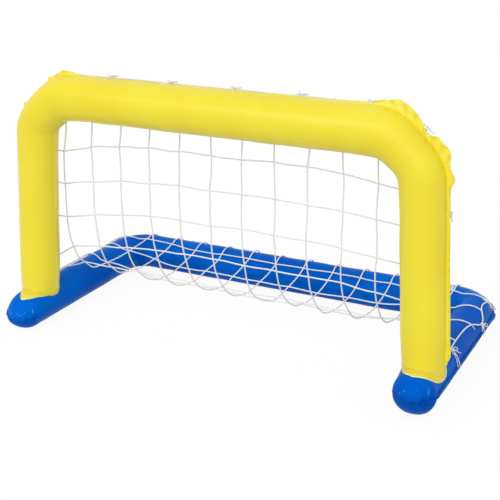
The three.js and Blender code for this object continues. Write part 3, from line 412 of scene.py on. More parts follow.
def carried(path, radius, sides, normal, close=False):
    """A round cord: a circle of the given radius carried along a path, square to it, its ends rounded off."""
    path = np.asarray(path, float)
    if close:
        way = unit(np.roll(path, -1, 0) - np.roll(path, 1, 0))
        size = np.ones(len(path))
    else:
        way = unit(np.gradient(path, axis=0))
        over = way[[0, -1]] * radius * CORD_END
        path = np.concatenate([path[:1] - over[:1], path, path[-1:] + over[1:]])
        way = np.concatenate([way[:1], way, way[-1:]])
        size = np.concatenate([[CORD_END_SIZE], np.ones(len(path) - 2), [CORD_END_SIZE]])
    side = unit(np.cross(way, normal))
    other = np.cross(way, side)
    turn = full_turn(sides)
    points = path[:, None] + swung(side[:, None], other[:, None], turn) * (radius * size)[:, None, None]
    along = np.concatenate([[0], np.cumsum(np.linalg.norm(np.diff(path, axis=0), axis=1))])
    uv = np.stack(np.broadcast_arrays(along[:, None], (turn / (2 * math.pi))[None]), -1).reshape(-1, 2)
    verts, faces = lay_grid(points, close_rows=close)
    return verts, faces if close else rim_caps(faces, len(path), sides), uv


def closed_spline(points, steps):
    """A smooth closed curve through points, by cubic pieces whose slopes follow the neighbouring points."""
    here = np.asarray(points, float)
    b, h, a, a2 = (np.roll(here, k, 0)[:, None] for k in (1, 0, -1, -2))
    t = (np.arange(steps) / steps)[None, :, None]
    curve = 0.5 * (2 * h + (a - b) * t + (2 * b - 5 * h + 4 * a - a2) * t ** 2
                   + (3 * h - b - 3 * a + a2) * t ** 3)
    return curve.reshape(-1, 3)


# Finishes
class NodeTree:
    """A tree of shader nodes, built up node by node."""

    def __init__(self, tree):
        self.nodes, self.links = tree.nodes, tree.links

    def node(self, kind, **settings):
        made = self.nodes.new(kind)
        for key, value in settings.items():
            if key in made.inputs:
                made.inputs[key].default_value = value
            else:
                setattr(made, key, value)
        return made

    def link(self, source, target):
        self.links.new(source, target)

    def calc(self, a, b, operation="ADD"):
        made = self.node("ShaderNodeMath", operation=operation)
        for k, x in enumerate((a, b)):
            if isinstance(x, (int, float)):
                made.inputs[k].default_value = x
            else:
                self.link(x, made.inputs[k])
        return made.outputs[0]

    def times(self, a, b):
        return self.calc(a, b, "MULTIPLY")

    def layered(self, share, under, over, target):
        """Two shaders mixed by a share, into a socket."""
        layers = self.node("ShaderNodeMixShader")
        for k, source in enumerate((share, under, over)):
            self.link(source, layers.inputs[k])
        self.link(layers.outputs[0], target)

    def white_seen(self):
        """One for the rays that show the white surroundings: the camera's, reflections and those through
        clear parts."""
        path = self.node("ShaderNodeLightPath").outputs
        seen = self.calc(path["Is Camera Ray"], path["Is Glossy Ray"], "MAXIMUM")
        return self.calc(seen, path["Is Transmission Ray"], "MAXIMUM")


class Finish(NodeTree):
    """A material built up on one shader."""

    def __init__(self, name, rough, **sockets):
        self.mat = bpy.data.materials.new(name)
        self.mat.use_nodes = True
        super().__init__(self.mat.node_tree)
        self.shader = self.nodes["Principled BSDF"]
        self.shader.inputs["Roughness"].default_value = rough
        for key, value in sockets.items():
            self.shader.inputs[key.replace("_", " ")].default_value = value
        self.place = self.node("ShaderNodeTexCoord").outputs["Object"]

    def noise(self, scale, detail=2.0, rough=0.5):
        made = self.node("ShaderNodeTexNoise", Scale=scale, Detail=detail, Roughness=rough)
        self.link(self.place, made.inputs["Vector"])
        return made.outputs["Fac"]

    def ramp(self, value, low, high, to_low=0.0, to_high=1.0):
        """A value eased from one range into another."""
        made = self.node("ShaderNodeMapRange", interpolation_type="SMOOTHSTEP")
        for k, x in zip(("From Min", "From Max", "To Min", "To Max"), (low, high, to_low, to_high)):
            made.inputs[k].default_value = x
        self.link(value, made.inputs["Value"])
        return made.outputs["Result"]

    def blend(self, share, a, b):
        """Two colours mixed by a share."""
        made = self.node("ShaderNodeMix", data_type="RGBA")
        for socket, x in ((made.inputs[0], share), (made.inputs[6], a), (made.inputs[7], b)):
            if isinstance(x, tuple):
                socket.default_value = (*x, 1)
            else:
                self.link(x, socket)
        return made.outputs[2]

    def drift(self, scale, detail, low, high, a, b):
        """Two colours that change over slowly in a noise of their own."""
        return self.blend(self.ramp(self.noise(scale, detail), low, high), a, b)

    def field(self, name):
        return self.node("ShaderNodeAttribute", attribute_name=name).outputs["Fac"]

    def bump(self, height, strength, distance, normal=None):
        made = self.node("ShaderNodeBump", Strength=strength, Distance=distance)
        self.link(height, made.inputs["Height"])
        if normal:
            self.link(normal, made.inputs["Normal"])
        return made.outputs["Normal"]

    def finished(self, colour=None, roughness=None, normal=None):
        for key, source in (("Base Color", colour), ("Roughness", roughness), ("Normal", normal)):
            if source:
                self.link(source, self.shader.inputs[key])
        return self.mat


PLEAT_PITCH = 0.0048
# Tints of the shine, and the pale blue of the painted glints on the pleats
SUNNY, DEEP_SKY, GLINT_BLUE = (1.0, 0.97, 0.85), (0.30, 0.60, 1.0), (0.16, 0.58, 0.95)


def film_finish(name, colours, gloss, crease, shine, tint, pleated=False, seam=None):
    """Welded vinyl film: slow colour drift, painted shade in the folds and along a weld, soft wrinkles and a
    fine haze. A pleated film also has narrow pleats square to its weld, where it is gathered, with painted
    shade in them and a painted glint on some of their crests. A seam colour shows as a thin line where the
    film has its inner weld."""
    bright, deep, fold_shade = colours
    f = Finish(name, gloss, Specular_IOR_Level=shine, Specular_Tint=(*tint, 1))
    colour = f.drift(5.0, 3.0, 0.35, 0.7, bright, deep)
    # Painted shade in the folds and along the weld, mixed in below with the folds' colour
    folds = f.times(f.field("fold_shade"), f.ramp(f.noise(60.0, 3.0), 0.3, 0.75, 0.35, 1.0))
    relief = f.bump(f.noise(26.0, 4.0, 0.55), crease, 0.002)
    if pleated:
        phase = f.calc(f.times(f.field("pleat"), 2 * math.pi / PLEAT_PITCH), f.times(f.noise(90.0), 5.0))
        wave, gathered = f.calc(phase, 0.0, "SINE"), f.field("gathered")
        pleat = f.times(wave, gathered)
        relief = f.bump(pleat, 0.8, 0.0008, relief)
        # Painted shade in the pleats
        folds = f.calc(folds, f.ramp(pleat, 0.1, 0.9, 0.0, 0.20))
    colour = f.blend(folds, colour, fold_shade)
    if pleated:
        # Painted glint: a pale blue on some pleat crests, where the film is gathered
        glint_band = f.times(f.ramp(gathered, 0.06, 0.22), f.ramp(gathered, 0.40, 0.65, 1.0, 0.0))
        crest = f.times(f.ramp(wave, 0.45, 0.95), f.ramp(f.noise(110.0, 2.0), 0.60, 0.66))
        colour = f.blend(f.times(glint_band, crest), colour, GLINT_BLUE)
    if seam:
        colour = f.blend(f.field("weld"), colour, seam)
    haze = f.noise(220.0, 4.0, 0.6)
    roughness = f.ramp(haze, 0.2, 0.8, gloss - 0.05, gloss + 0.08)
    return f.finished(colour, roughness, f.bump(haze, 0.06, 0.0004, relief))


def hem_finish():
    """Doubled film at a post's foot: lighter, mottled where the weld pressed it."""
    f = Finish("yellow_hem", 0.36, Specular_IOR_Level=0.2)
    mottle = f.ramp(f.noise(120.0, 3.0, 0.65), 0.48, 0.62)
    base = f.drift(30.0, 2.0, 0.3, 0.7, (0.84, 0.73, 0.06), (0.80, 0.67, 0.04))
    colour = f.blend(f.times(mottle, 0.42), base, (0.86, 0.56, 0.20))
    return f.finished(colour, normal=f.bump(f.noise(160.0, 3.0, 0.6), 0.12, 0.0006))


def bead_finish():
    """Pale bead of vinyl that came out of the weld, slightly rough."""
    f = Finish("pale_bead", 0.4)
    colour = f.drift(90.0, 3.0, 0.35, 0.65, (0.88, 0.97, 0.45), (0.84, 0.92, 0.34))
    return f.finished(colour, normal=f.bump(f.noise(300.0, 3.0), 0.2, 0.0004))


def cord_finish():
    """Twisted white cord: slanting plies by the cord's own lengthwise and round coordinates, with painted
    shade between them."""
    f = Finish("white_cord", 0.85, Specular_IOR_Level=0.25, Sheen_Weight=0.25)
    parts = f.node("ShaderNodeSeparateXYZ")
    f.link(f.node("ShaderNodeUVMap", uv_map="UVMap").outputs["UV"], parts.inputs[0])
    turns = f.calc(f.times(parts.outputs[0], 1 / LAY_LENGTH), f.times(parts.outputs[1], 3.0))
    ply = f.calc(f.times(f.calc(f.times(turns, 2 * math.pi), 0.0, "SINE"), 0.5), 0.5)
    # Painted shade between the plies
    groove_shade = f.ramp(ply, 0.0, 0.45, 1.0, 0.0)
    dirt = f.times(f.ramp(f.noise(14.0, 3.0), 0.45, 0.75), 0.35)
    base = f.blend(dirt, (0.90, 0.90, 0.93), (0.83, 0.78, 0.79))
    colour = f.blend(f.times(groove_shade, 0.40), base, (0.60, 0.59, 0.62))
    return f.finished(colour, normal=f.bump(ply, 0.6, 0.0003))


def clear_finish():
    """Milky soft vinyl: cloudy colour, slight haze and moulding marks."""
    f = Finish("milky_vinyl", 0.3, Subsurface_Weight=0.25, Subsurface_Scale=0.002)
    colour = f.drift(260.0, 3.0, 0.35, 0.7, (0.72, 0.74, 0.68), (0.62, 0.66, 0.60))
    roughness = f.ramp(f.noise(500.0, 3.0), 0.2, 0.8, 0.24, 0.38)
    return f.finished(colour, roughness, f.bump(f.noise(700.0, 2.0), 0.15, 0.0002))


# Films: their bright and deep colours, the painted shade colour of their folds, gloss, creases, shine and its
# tint
YELLOW = film_finish("yellow_film", ((0.87, 0.740, 0.036), (0.85, 0.700, 0.024), (0.78, 0.55, 0.008)),
                     0.30, 0.08, 0.36, SUNNY, seam=(0.96, 0.86, 0.12))
YELLOW_EDGE = film_finish("yellow_margin", ((0.95, 0.86, 0.12), (0.92, 0.78, 0.05), (0.72, 0.58, 0.015)),
                          0.3, 0.30, 0.35, SUNNY)
BLUE = film_finish("blue_film", ((0.001, 0.134, 0.64), (0.001, 0.103, 0.55), (0.0005, 0.045, 0.34)),
                   0.22, 0.10, 0.015, DEEP_SKY, pleated=True)
# The blue margin's colours are the film's blue made lighter and greyer by a painted reflection of the pale
# floor
BLUE_EDGE = film_finish("blue_margin", ((0.012, 0.165, 0.50), (0.006, 0.125, 0.44), (0.001, 0.06, 0.32)),
                        0.26, 0.22, 0.08, DEEP_SKY)
HEM, BEAD, CORD, CLEAR = hem_finish(), bead_finish(), cord_finish(), clear_finish()


# The yellow arch
# Fuller and lower places of a leg by a post's foot: where they are along it and round it, and their reach
SHOULDER_REACH, SHOULDER_TURN, SHOULDER_SPREAD = 0.05, math.radians(145), math.radians(26)
BULGE_AHEAD, BULGE_REACH = 0.092, 0.028
SQUAT_AHEAD, SQUAT_RUN = 0.056, 0.080
SADDLE_HALVINGS, SADDLE_OFF = 26, 1.01


def swell(side, angle, y):
    """How much fuller a leg is, as a share of its section: on its inner shoulder beside a post's foot, and on
    the right leg also on the outside near the tip."""
    round_it = (angle % (2 * math.pi) - SHOULDER_TURN) / SHOULDER_SPREAD
    shoulder = FOOT_SWELL * np.exp(-(y / SHOULDER_REACH) ** 2 - round_it ** 2)
    bulge = FOOT_BULGE * np.exp(-((y + BULGE_AHEAD) / BULGE_REACH) ** 2) * smooth(np.cos(angle) * 1.4)
    return shoulder + bulge * (np.asarray(side) > 0)


def squat(side, y):
    """Share of its height that the left leg, softer than the right one, keeps towards its tip."""
    return 1 - FOOT_SQUAT * smooth((-y - SQUAT_AHEAD) / SQUAT_RUN) * (np.asarray(side) < 0)


def saddle(angle):
    """How far up a post's axis its wall meets the leg: the crossing is closed in on by halving a span."""
    low, high = np.zeros_like(angle), np.full_like(angle, 0.1)
    for _ in range(SADDLE_HALVINGS):
        run = (low + high) / 2
        radius = arch_radius(BASE_AXIS + run * math.cos(SPLAY))
        outside = radius * np.cos(angle) * math.cos(SPLAY) - run * math.sin(SPLAY)
        height = run * math.cos(SPLAY) + radius * np.cos(angle) * math.sin(SPLAY)
        turn = np.arctan2(height / BASE_HIGH, outside / BASE_WIDE)
        reach = np.hypot(outside / BASE_WIDE, height / BASE_HIGH)
        reach = reach / (SADDLE_OFF + swell(-1, turn, radius * np.sin(angle)))
        low, high = np.where(reach < 1, run, low), np.where(reach < 1, high, run)
    return run


def seam_gap(angle, seam):
    """Signed angle from a seam."""
    return (angle - seam + math.pi) % (2 * math.pi) - math.pi


def bend_share(line):
    """How far into a bend a place is: nothing at its ends, one in its middle, level at both."""
    return line["gather"] ** 4


# The film by its outer and its inner weld: the ridge's height and spread, the folds' pitch, depth and added
# depth in the bends, how far they reach round the tube, and from which depth on their painted shade is
# fullest
OUTER_WELD = {"ridge": 0.0016, "spread": 0.06, "pitch": 0.046, "depth": 0.0006, "bend_depth": 0.0026}
INNER_WELD = {"ridge": 0.0012, "spread": 0.035, "pitch": 0.036, "depth": 0.0004, "bend_depth": 0.0036}
OUTER_FOLD_REACH, INNER_FOLD_REACH = 0.42, 0.30
DEEP_OUTER_FOLD, DEEP_INNER_FOLD = 0.0024, 0.003
# Slow waves of the film, pitch and height: one that twists round the tube and one beside it. Then the painted
# shade: its share in deep folds, along the outer weld and in a crease beside the inner weld, with their reach
# and its place
SLOW_PITCH, SLOW_HEIGHT, TWIST_PITCH, SIDE_PITCH, SIDE_HEIGHT = 0.31, 0.0008, 0.5, 0.17, 0.0005
FOLD_SHADE, WELD_SHADE, WELD_REACH, CREASE_SHADE, CREASE_PLACE, CREASE_REACH = 0.6, 0.35, 0.12, 0.5, 0.07, 0.025


def weld_folds(weld, line, along, seed, fade):
    """Folds that leave a weld, deeper in the bends."""
    depth = weld["depth"] + weld["bend_depth"] * line["gather"][:, None]
    return np.abs(waves(along, weld["pitch"], seed)) * fade * depth


def film_relief(line, along, angle, seed, draw=0.0):
    """Height of the film over its plain round section: a ridge at each weld, folds that leave the welds and
    fade round the tube, deeper in the bends, the outside of each bend drawn in, and a slow unevenness. Also
    the painted shade: how deep in the folds each place lies, with more along the outer weld and in a crease
    beside the inner weld."""
    outer, inner = np.abs(seam_gap(angle, 0.0)), np.abs(seam_gap(angle, math.pi))
    ridge = OUTER_WELD["ridge"] * np.exp(-outer / OUTER_WELD["spread"])
    ridge = ridge + INNER_WELD["ridge"] * np.exp(-inner / INNER_WELD["spread"])
    outer_fold = weld_folds(OUTER_WELD, line, along, seed, np.exp(-(outer / OUTER_FOLD_REACH) ** 2))
    inner_fold = weld_folds(INNER_WELD, line, along, seed + 1, np.exp(-inner / INNER_FOLD_REACH))
    drawn = draw * bend_share(line)[:, None] * (0.5 + 0.5 * np.cos(angle)) ** 2
    twist = np.cos(angle * 2 + waves(along, TWIST_PITCH, seed + 3))
    slow = waves(along + 0.04 * np.cos(angle), SLOW_PITCH, seed + 2) * twist * SLOW_HEIGHT
    slow = slow + waves(along, SIDE_PITCH, seed + 4) * np.sin(angle + 1.1) * SIDE_HEIGHT
    # Painted shade: darker in deep folds, along the outer weld and in a crease beside the inner weld
    fold_shade = np.clip(outer_fold / DEEP_OUTER_FOLD, 0, 1) * FOLD_SHADE
    fold_shade = fold_shade + np.clip(inner_fold / DEEP_INNER_FOLD, 0, 1) * FOLD_SHADE
    fold_shade = fold_shade + WELD_SHADE * np.exp(-outer / WELD_REACH)
    fold_shade = fold_shade + CREASE_SHADE * np.exp(-((inner - CREASE_PLACE) / CREASE_REACH) ** 2)
    return ridge - outer_fold - inner_fold - drawn + slow, np.clip(fold_shade, 0, 1)


def arch_film():
    """The arch: a circle of changing radius carried along the centre line, fuller on the inside of each
    corner, with each post's wall ended on its leg."""
    line = arch_line(RING_STEP)
    angle = full_turn(ARCH_SIDES)
    along = np.repeat(line["along"][:, None], len(angle), 1)
    total = along[-1, 0]
    start = saddle(angle)[None]
    first, final = line["along"] <= POST_RUN + HAIR, line["along"] >= total - POST_RUN - HAIR
    along[first] = mix(start, POST_RUN, along[first] / POST_RUN)
    along[final] = total - mix(start, POST_RUN, (total - along[final]) / POST_RUN)
    point = line["point"][:, None] + (along - line["along"][:, None])[..., None] * line["way"][:, None]
    radius = arch_radius(point[..., 2])
    relief, fold_shade = film_relief(line, along, angle[None], 11, CORNER_DRAW)
    middle = POST_RUN + ARCH_BEND * (math.pi / 2 - SPLAY) / 2
    by_corner = np.exp(-((np.minimum(line["along"], total - line["along"]) - middle) / CORNER_REACH) ** 2)
    relief = relief + CORNER_FULL * by_corner[:, None] * (0.5 - 0.5 * np.cos(angle))[None] ** 2
    calm = smooth(np.minimum(along - start, total - start - along) / CALM_RUN)
    radius = radius + relief * mix(CALM_SHARE, 1, calm)
    points = point + swung(line["out"][:, None], BACK, angle) * radius[..., None]
    weld = np.broadcast_to(np.exp(-(seam_gap(angle[None], math.pi) / WELD_LINE) ** 2), radius.shape)
    verts, faces = lay_grid(points, flip=True)
    return verts, rim_caps(faces, *radius.shape), fold_shade, weld


def dipped(verts, origin, out):
    """The film turned in below a valve: points near its axis go straight in, round its sleeve."""
    inside = np.linalg.norm(verts - origin, axis=1) < DIP_RADIUS
    return verts - np.outer(inside * POCKET_DEPTH, out)


def post_wall(side, angle, climb, grown):
    """A place on a post's wall: so far round it, so far above its lower edge and so far off the film."""
    run = saddle(angle) + climb
    way = np.array([math.sin(SPLAY), 0, math.cos(SPLAY)])
    out = np.array([-math.cos(SPLAY), 0, math.sin(SPLAY)])
    point = np.array([-HALF_LEGS, 0, BASE_AXIS]) + run[..., None] * way
    radius = arch_radius(point[..., 2]) + grown
    points = point + swung(out, BACK, angle) * radius[..., None]
    return points * np.array([-side, 1, 1])


def post_hem(side):
    """Band welded round a post's foot: a thin flat section with eased corners, round its lower edge."""
    angle = full_turn(ARCH_SIDES)[:, None]
    climb, grown = (column[None] for column in np.array(HEM_SECTION).T)
    climb = climb * (HEM_LOW + HEM_SWING * np.cos(angle) ** 2)
    swollen = 1 + HEM_SWELL * waves(angle * POST_RADIUS, HEM_SWELL_PITCH, 31)
    lift = climb * (1 + HEM_WANDER * waves(angle * POST_RADIUS, HEM_WANDER_PITCH, 32))
    points = post_wall(side, np.broadcast_to(angle, lift.shape), lift, grown * HEM_THICKNESS * swollen)
    return lay_grid(points, close_rows=True, flip=side > 0)


def leg_skin(side, turn, y, grown):
    """A place on a leg's film: so far down from its top, outwards positive, so far back and so far off it."""
    fuller = 1 + swell(side, math.pi / 2 - turn, y)
    x = (BASE_WIDE * fuller + grown) * np.sin(turn)
    z = (BASE_HIGH * fuller + grown) * np.cos(turn)
    _, closing = tip_closing(y + FOOT_REACH)
    height = (BASE_AXIS + z * closing ** TIP_ROUND) * squat(side, y)
    return np.stack([side * (HALF_LEGS + x * closing), y, height], -1)


def tip_closing(distance):
    """How far a leg's tip has run at a distance from its end, and its share of the full section there."""
    tip = np.clip(distance / TIP_LENGTH, 0, 1)
    return tip, np.sqrt(1 - (1 - tip) ** 2)


def flange_place(side, turn, share, grown):
    """A place on the flange: round the post, from under the post's wall out to the flange's edge."""
    sine, cosine = np.sin(turn), np.cos(turn)
    start = np.arcsin(FLANGE_ROOT * sine) * np.where(sine < 0, FLANGE_ROOT_INSIDE, 1.0)
    end = np.where(sine < 0, FLANGE_INSIDE, FLANGE_OUTSIDE if side > 0 else FLANGE_LEFT_OUTSIDE) * sine
    outside = FLANGE_FRONT if side > 0 else FLANGE_LEFT_EDGE
    wander = 1 + FLANGE_WANDER * waves(turn * FLANGE_RADIUS, FLANGE_WANDER_PITCH, 35)
    front = mix(FLANGE_FRONT, outside, smooth(sine / 0.8)) * wander
    length = mix(FLANGE_REAR, front, smooth(cosine * 2 + 0.5))
    return leg_skin(side, mix(start, end, share), -mix(FLANGE_START, length, share) * cosine, grown)


def post_flange(side):
    """Flap welded on the leg round a post's foot: thin and flat on the leg, longest to front and back."""
    turn = full_turn(FLANGE_SIDES)[:, None]
    share, grown = (column[None] for column in np.array(FLANGE_SECTION).T)
    points = flange_place(side, turn, share, grown * HEM_THICKNESS + FLANGE_OFF)
    return lay_grid(points, close_rows=True, flip=side < 0)


def post_bead(side):
    """Round bead along the flange's edge: a small circle carried round it."""
    turn = full_turn(FLANGE_SIDES)[:, None]
    circle = full_turn(BEAD_SIDES)[None]
    size = BEAD_RADIUS * (1 + BEAD_SWELL * waves(turn * POST_RADIUS, BEAD_PITCH, 33))
    reach = FLANGE_SPAN + FLANGE_SPAN_MORE * np.cos(turn) ** 2
    points = flange_place(side, turn, 1 + size * np.cos(circle) / reach, BEAD_OFF + size * np.sin(circle))
    return lay_grid(points, close_rows=True, flip=side > 0)


# The weld margins
def margin_shape(tube, place):
    """Width of a margin outside its weld and the angle by which it leans over the tube."""
    if tube is ARCH:
        places, widths, leans = ARCH_EDGE
        return eased_table(place["along"], places, widths), eased_table(place["along"], places, leans)
    total = BASE["line"]["along"][-1]
    scallop = np.abs(waves(place["along"], SCALLOP_PITCH, 55, (1, 0.5))) * SCALLOP * place["gather"]
    tip = smooth((np.minimum(place["along"], total - place["along"]) / TIP_LENGTH - 0.5) / 0.5)
    width = mix(TIP_MARGIN, mix(BASE_MARGIN, BASE_CORNER_MARGIN, place["gather"]), tip) - scallop
    return width, BASE_MARGIN_LEAN * place["gather"]


def leaning(place, lean):
    """Which way a margin stands from its weld, and the way square to it, over the tube."""
    return swung(place["out"], place["lift"], lean), swung(place["lift"], -place["out"], lean)


def margin_film(tube, line, root, notches, seed):
    """Two welded sheets left standing along a seam: a thin closed section carried along it. Its edge is drawn
    in at each tie, and creases run across it from the weld, deeper in the bends."""
    width, lean = margin_shape(tube, line)
    along = line["along"]
    pull = sum(np.exp(-((along - n) / NOTCH_REACH) ** 2) for n in notches)
    uneven = EDGE_UNEVEN * waves(along, EDGE_PITCH, seed) * (0.4 + line["gather"])
    width = width * (1 - NOTCH_SHARE * np.clip(pull, 0, 1)) + uneven
    share = np.linspace(0, 1, MARGIN_COLUMNS)
    rise = np.concatenate([np.ones(len(share)), -np.ones(len(share))])[None] * FILM / 2
    share = np.concatenate([share, share[::-1]])[None]
    across = -MARGIN_ROOT + (width[:, None] + MARGIN_ROOT) * share
    gather = line["gather"][:, None]
    crease = waves(along[:, None] + CREASE_SLANT * share, CREASE_PITCH, seed + 1, (1, 0.8, 0.5))
    crease = crease * (CREASE_SLIGHT + CREASE_DEEP * gather) * share
    billow = waves(along[:, None], BILLOW_PITCH, seed + 2) * BILLOW * share * (1 - gather)
    stand, square = leaning(line, lean)
    points = line["point"][:, None] + line["out"][:, None] * root[:, None, None]
    points = points + stand[:, None] * across[..., None]
    points = points + square[:, None] * (crease + billow + rise)[..., None]
    uv = np.stack(np.broadcast_arrays(along[:, None], across), -1).reshape(-1, 2)
    # Painted shade: darker in the creases where the margin is gathered, and on the arch's straight runs over
    # the margin's outer half
    fold_shade = np.clip(0.25 - crease / 0.0016, 0, 1) * share * gather
    if tube is ARCH:
        fold_shade = np.clip(fold_shade + 0.8 * smooth((share - 0.45) / 0.3) * (1 - gather), 0, 1)
    verts, faces = lay_grid(points, flip=True)
    return verts, faced_out(verts, rim_caps(faces, *points.shape[:2])), uv, fold_shade


def part_of(line, keep):
    """The kept places of a line."""
    return {k: (v[keep] if isinstance(v, np.ndarray) and len(v) == len(keep) else v) for k, v in line.items()}


def arch_margin(notches):
    """The arch's margin, from just above one leg over the corners to just above the other."""
    line = arch_line(MARGIN_STEP)
    line = part_of(line, line["point"][:, 2] > BASE_AXIS + BASE_HIGH - MARGIN_SUNK)
    root = arch_radius(line["point"][:, 2]) - CORNER_DRAW * bend_share(line)
    return margin_film(ARCH, line, root, notches, 41)


def base_margin(notches):
    """The base's margin runs on round each leg's tip, narrower there."""
    line = base_line(MARGIN_STEP)
    total = line["along"][-1]
    line = part_of(line, np.minimum(line["along"], total - line["along"]) > TIP_LENGTH * MARGIN_START)
    tip, closing = tip_closing(np.minimum(line["along"], total - line["along"]))
    kept = squat(np.where(line["along"] < total / 2, 1, -1), line["point"][:, 1])
    line["point"] = line["point"] * np.stack([np.ones(len(tip)), np.ones(len(tip)), kept], 1)
    return margin_film(BASE, line, BASE_WIDE * closing, notches, 51)


# The blue base
def base_film():
    """The base: an ellipse carried along the U, closing to a rounded tip at each leg's end, flat on the
    floor, with creases fanning from each tip's edge."""
    line = base_line(RING_STEP)
    total = line["along"][-1]
    angle = full_turn(BASE_SIDES)[None]
    body = part_of(line, (line["along"] > TIP_LENGTH) & (line["along"] < total - TIP_LENGTH))
    shares = np.sin(np.linspace(0.02, math.pi / 2, 52)) ** 2
    ends = []
    for index, inward in ((0, 1), (-1, -1)):
        tip = {k: np.repeat(line[k][index][None], len(shares), 0) for k in ("way", "out")}
        tip["point"] = line["point"][index] + line["way"][index] * (inward * shares * TIP_LENGTH)[:, None]
        tip["along"] = line["along"][index] + inward * shares * TIP_LENGTH
        tip["gather"] = np.zeros(len(shares))
        ends.append(tip if inward > 0 else {k: v[::-1] for k, v in tip.items()})
    whole = {k: np.concatenate([ends[0][k], body[k], ends[1][k]])
             for k in ("point", "way", "out", "along", "gather")}
    along = whole["along"][:, None]
    tip, closing = tip_closing(np.minimum(along, total - along))
    relief, fold_shade = film_relief(whole, along, angle, 21)
    y = whole["point"][:, 1:2]
    relief = relief * smooth(tip / 0.5) * (1 - 0.9 * np.exp(-(y / 0.1) ** 4))
    ahead, height = (1 - tip) * TIP_LENGTH, np.sin(angle) * closing
    aside = np.cos(angle) * BASE_WIDE * closing
    round_tip = np.arctan2(ahead, aside) * TIP_RADIUS + np.where(along < total / 2, 0, TIP_APART)
    crease = np.abs(waves(round_tip, SPOKE_PITCH, 71)) ** SPOKE_SHARP
    reach = np.where(height > 0, SPOKE_UP, SPOKE_DOWN)
    gathered = np.exp(-(np.abs(height) / reach) ** SPOKE_FADE) * smooth((1 - tip) / 0.5)
    spoke = crease * gathered * SPOKE_DEPTH
    relief = relief - spoke
    pleats = {"pleat": round_tip, "gathered": gathered}
    side = np.where(along < total / 2, 1, -1)
    fuller = 1 + swell(side, angle, y)
    wide = BASE_WIDE * closing * fuller + relief
    high = BASE_HIGH * closing ** TIP_ROUND * fuller + relief
    points = whole["point"][:, None] + whole["out"][:, None] * (wide * np.cos(angle))[..., None]
    points = points + UP * (high * np.sin(angle))[..., None]
    points[..., 2] = np.maximum(points[..., 2], 0) * squat(side, y)
    # Painted shade along the outer weld, and in the creases at the tips
    fold_shade = fold_shade + 0.5 * np.exp(-(seam_gap(angle, 0.0) / 0.35) ** 2)
    fold_shade = np.clip(fold_shade + 0.6 * np.clip(spoke / SPOKE_SHADE, 0, 1), 0, 1)
    verts, faces = lay_grid(points, flip=True)
    return verts, rim_caps(faces, *points.shape[:2]), {"fold_shade": fold_shade, **pleats}


# The net
def table_at(shares, row):
    """A table's value between its whole rows."""
    return np.interp(row, np.arange(len(shares)), shares)


def arc_across(radius, rise):
    """Half the width of a circle at a rise over its middle."""
    return np.sqrt(np.clip(radius ** 2 - rise ** 2, 0, None))


def stacked(*parts):
    """Points from their three coordinates."""
    return np.stack(np.broadcast_arrays(*parts), -1).astype(float)


def arch_top_edge(x):
    """Where the net lies along the bar, over the bends too."""
    reach = BAR_RADIUS + NET_STANDOFF
    out, back = reach * math.cos(ARCH_TIE_ANGLE), reach * math.sin(ARCH_TIE_ANGLE)
    return stacked(x, back, ARCH_BEND_Z + arc_across(ARCH_BEND + out, np.clip(x - ARCH_BEND_X, 0, None)))


def arch_side_edge(height):
    """Where the net lies down the right post, from the bend."""
    reach = arch_radius(height) + NET_STANDOFF
    out, back = reach * math.cos(ARCH_TIE_ANGLE), reach * math.sin(ARCH_TIE_ANGLE)
    on_bend = ARCH_BEND_X + arc_across(ARCH_BEND + out, height - ARCH_BEND_Z)
    on_post = HALF_LEGS - (height - BASE_AXIS) * math.tan(SPLAY) + out / math.cos(SPLAY)
    return stacked(np.where(height > ARCH_BEND_Z, on_bend, on_post), back, height)


def bezier(points, t):
    """Bezier curve: each pull point weighted by its power of t."""
    n = len(points) - 1
    return sum(math.comb(n, k) * (t ** k * (1 - t) ** (n - k))[..., None] * p for k, p in enumerate(points))


def sag_point(x, row):
    """The net behind the curtain hangs in a curve from curtain to rear tube, held up beside the legs."""
    crest = REAR_REACH - CREST_RUN
    reach, rise = BASE_WIDE + NET_STANDOFF, BASE_HIGH + NET_STANDOFF
    crest_height = BASE_AXIS + rise * arc_across(reach, CREST_RUN) / reach
    pulls = [stacked(x, CURTAIN_BACK, CURTAIN_FOOT),
             stacked(x, CURTAIN_BACK + SAG_FRONT_RUN, SAG_FRONT_HEIGHT),
             stacked(x, crest - SAG_REAR_RUN, SAG_REAR_HEIGHT), stacked(x, crest, crest_height)]
    point = bezier(pulls, table_at(SAG_SHARES, row - CURTAIN_ROWS))
    held = smooth((x / CELL_WIDTH - INNER_COLUMN + LIFT_COLUMNS) / LIFT_COLUMNS)
    point[..., 2] += LIFT_SHARE * held * np.clip(BASE_AXIS + rise - point[..., 2], 0, None)
    return point


def arched(across, row, hand):
    """How much higher or lower a row of the curtain hangs: it droops towards the posts, more on the left."""
    inside = np.minimum(across, INNER_COLUMN) / INNER_COLUMN
    droop = CURTAIN_RISE - np.where(hand < 0, DROOP_LEFT, DROOP_RIGHT) * inside ** 3
    by_border = mix(1, BORDER_DROOP, np.clip(across - INNER_COLUMN, 0, 1))
    below = smooth((row - CURTAIN_ROWS - DROOP_END) / DROOP_ROWS)
    return droop * by_border * smooth(row / DROOP_ROWS) * (1 - below)


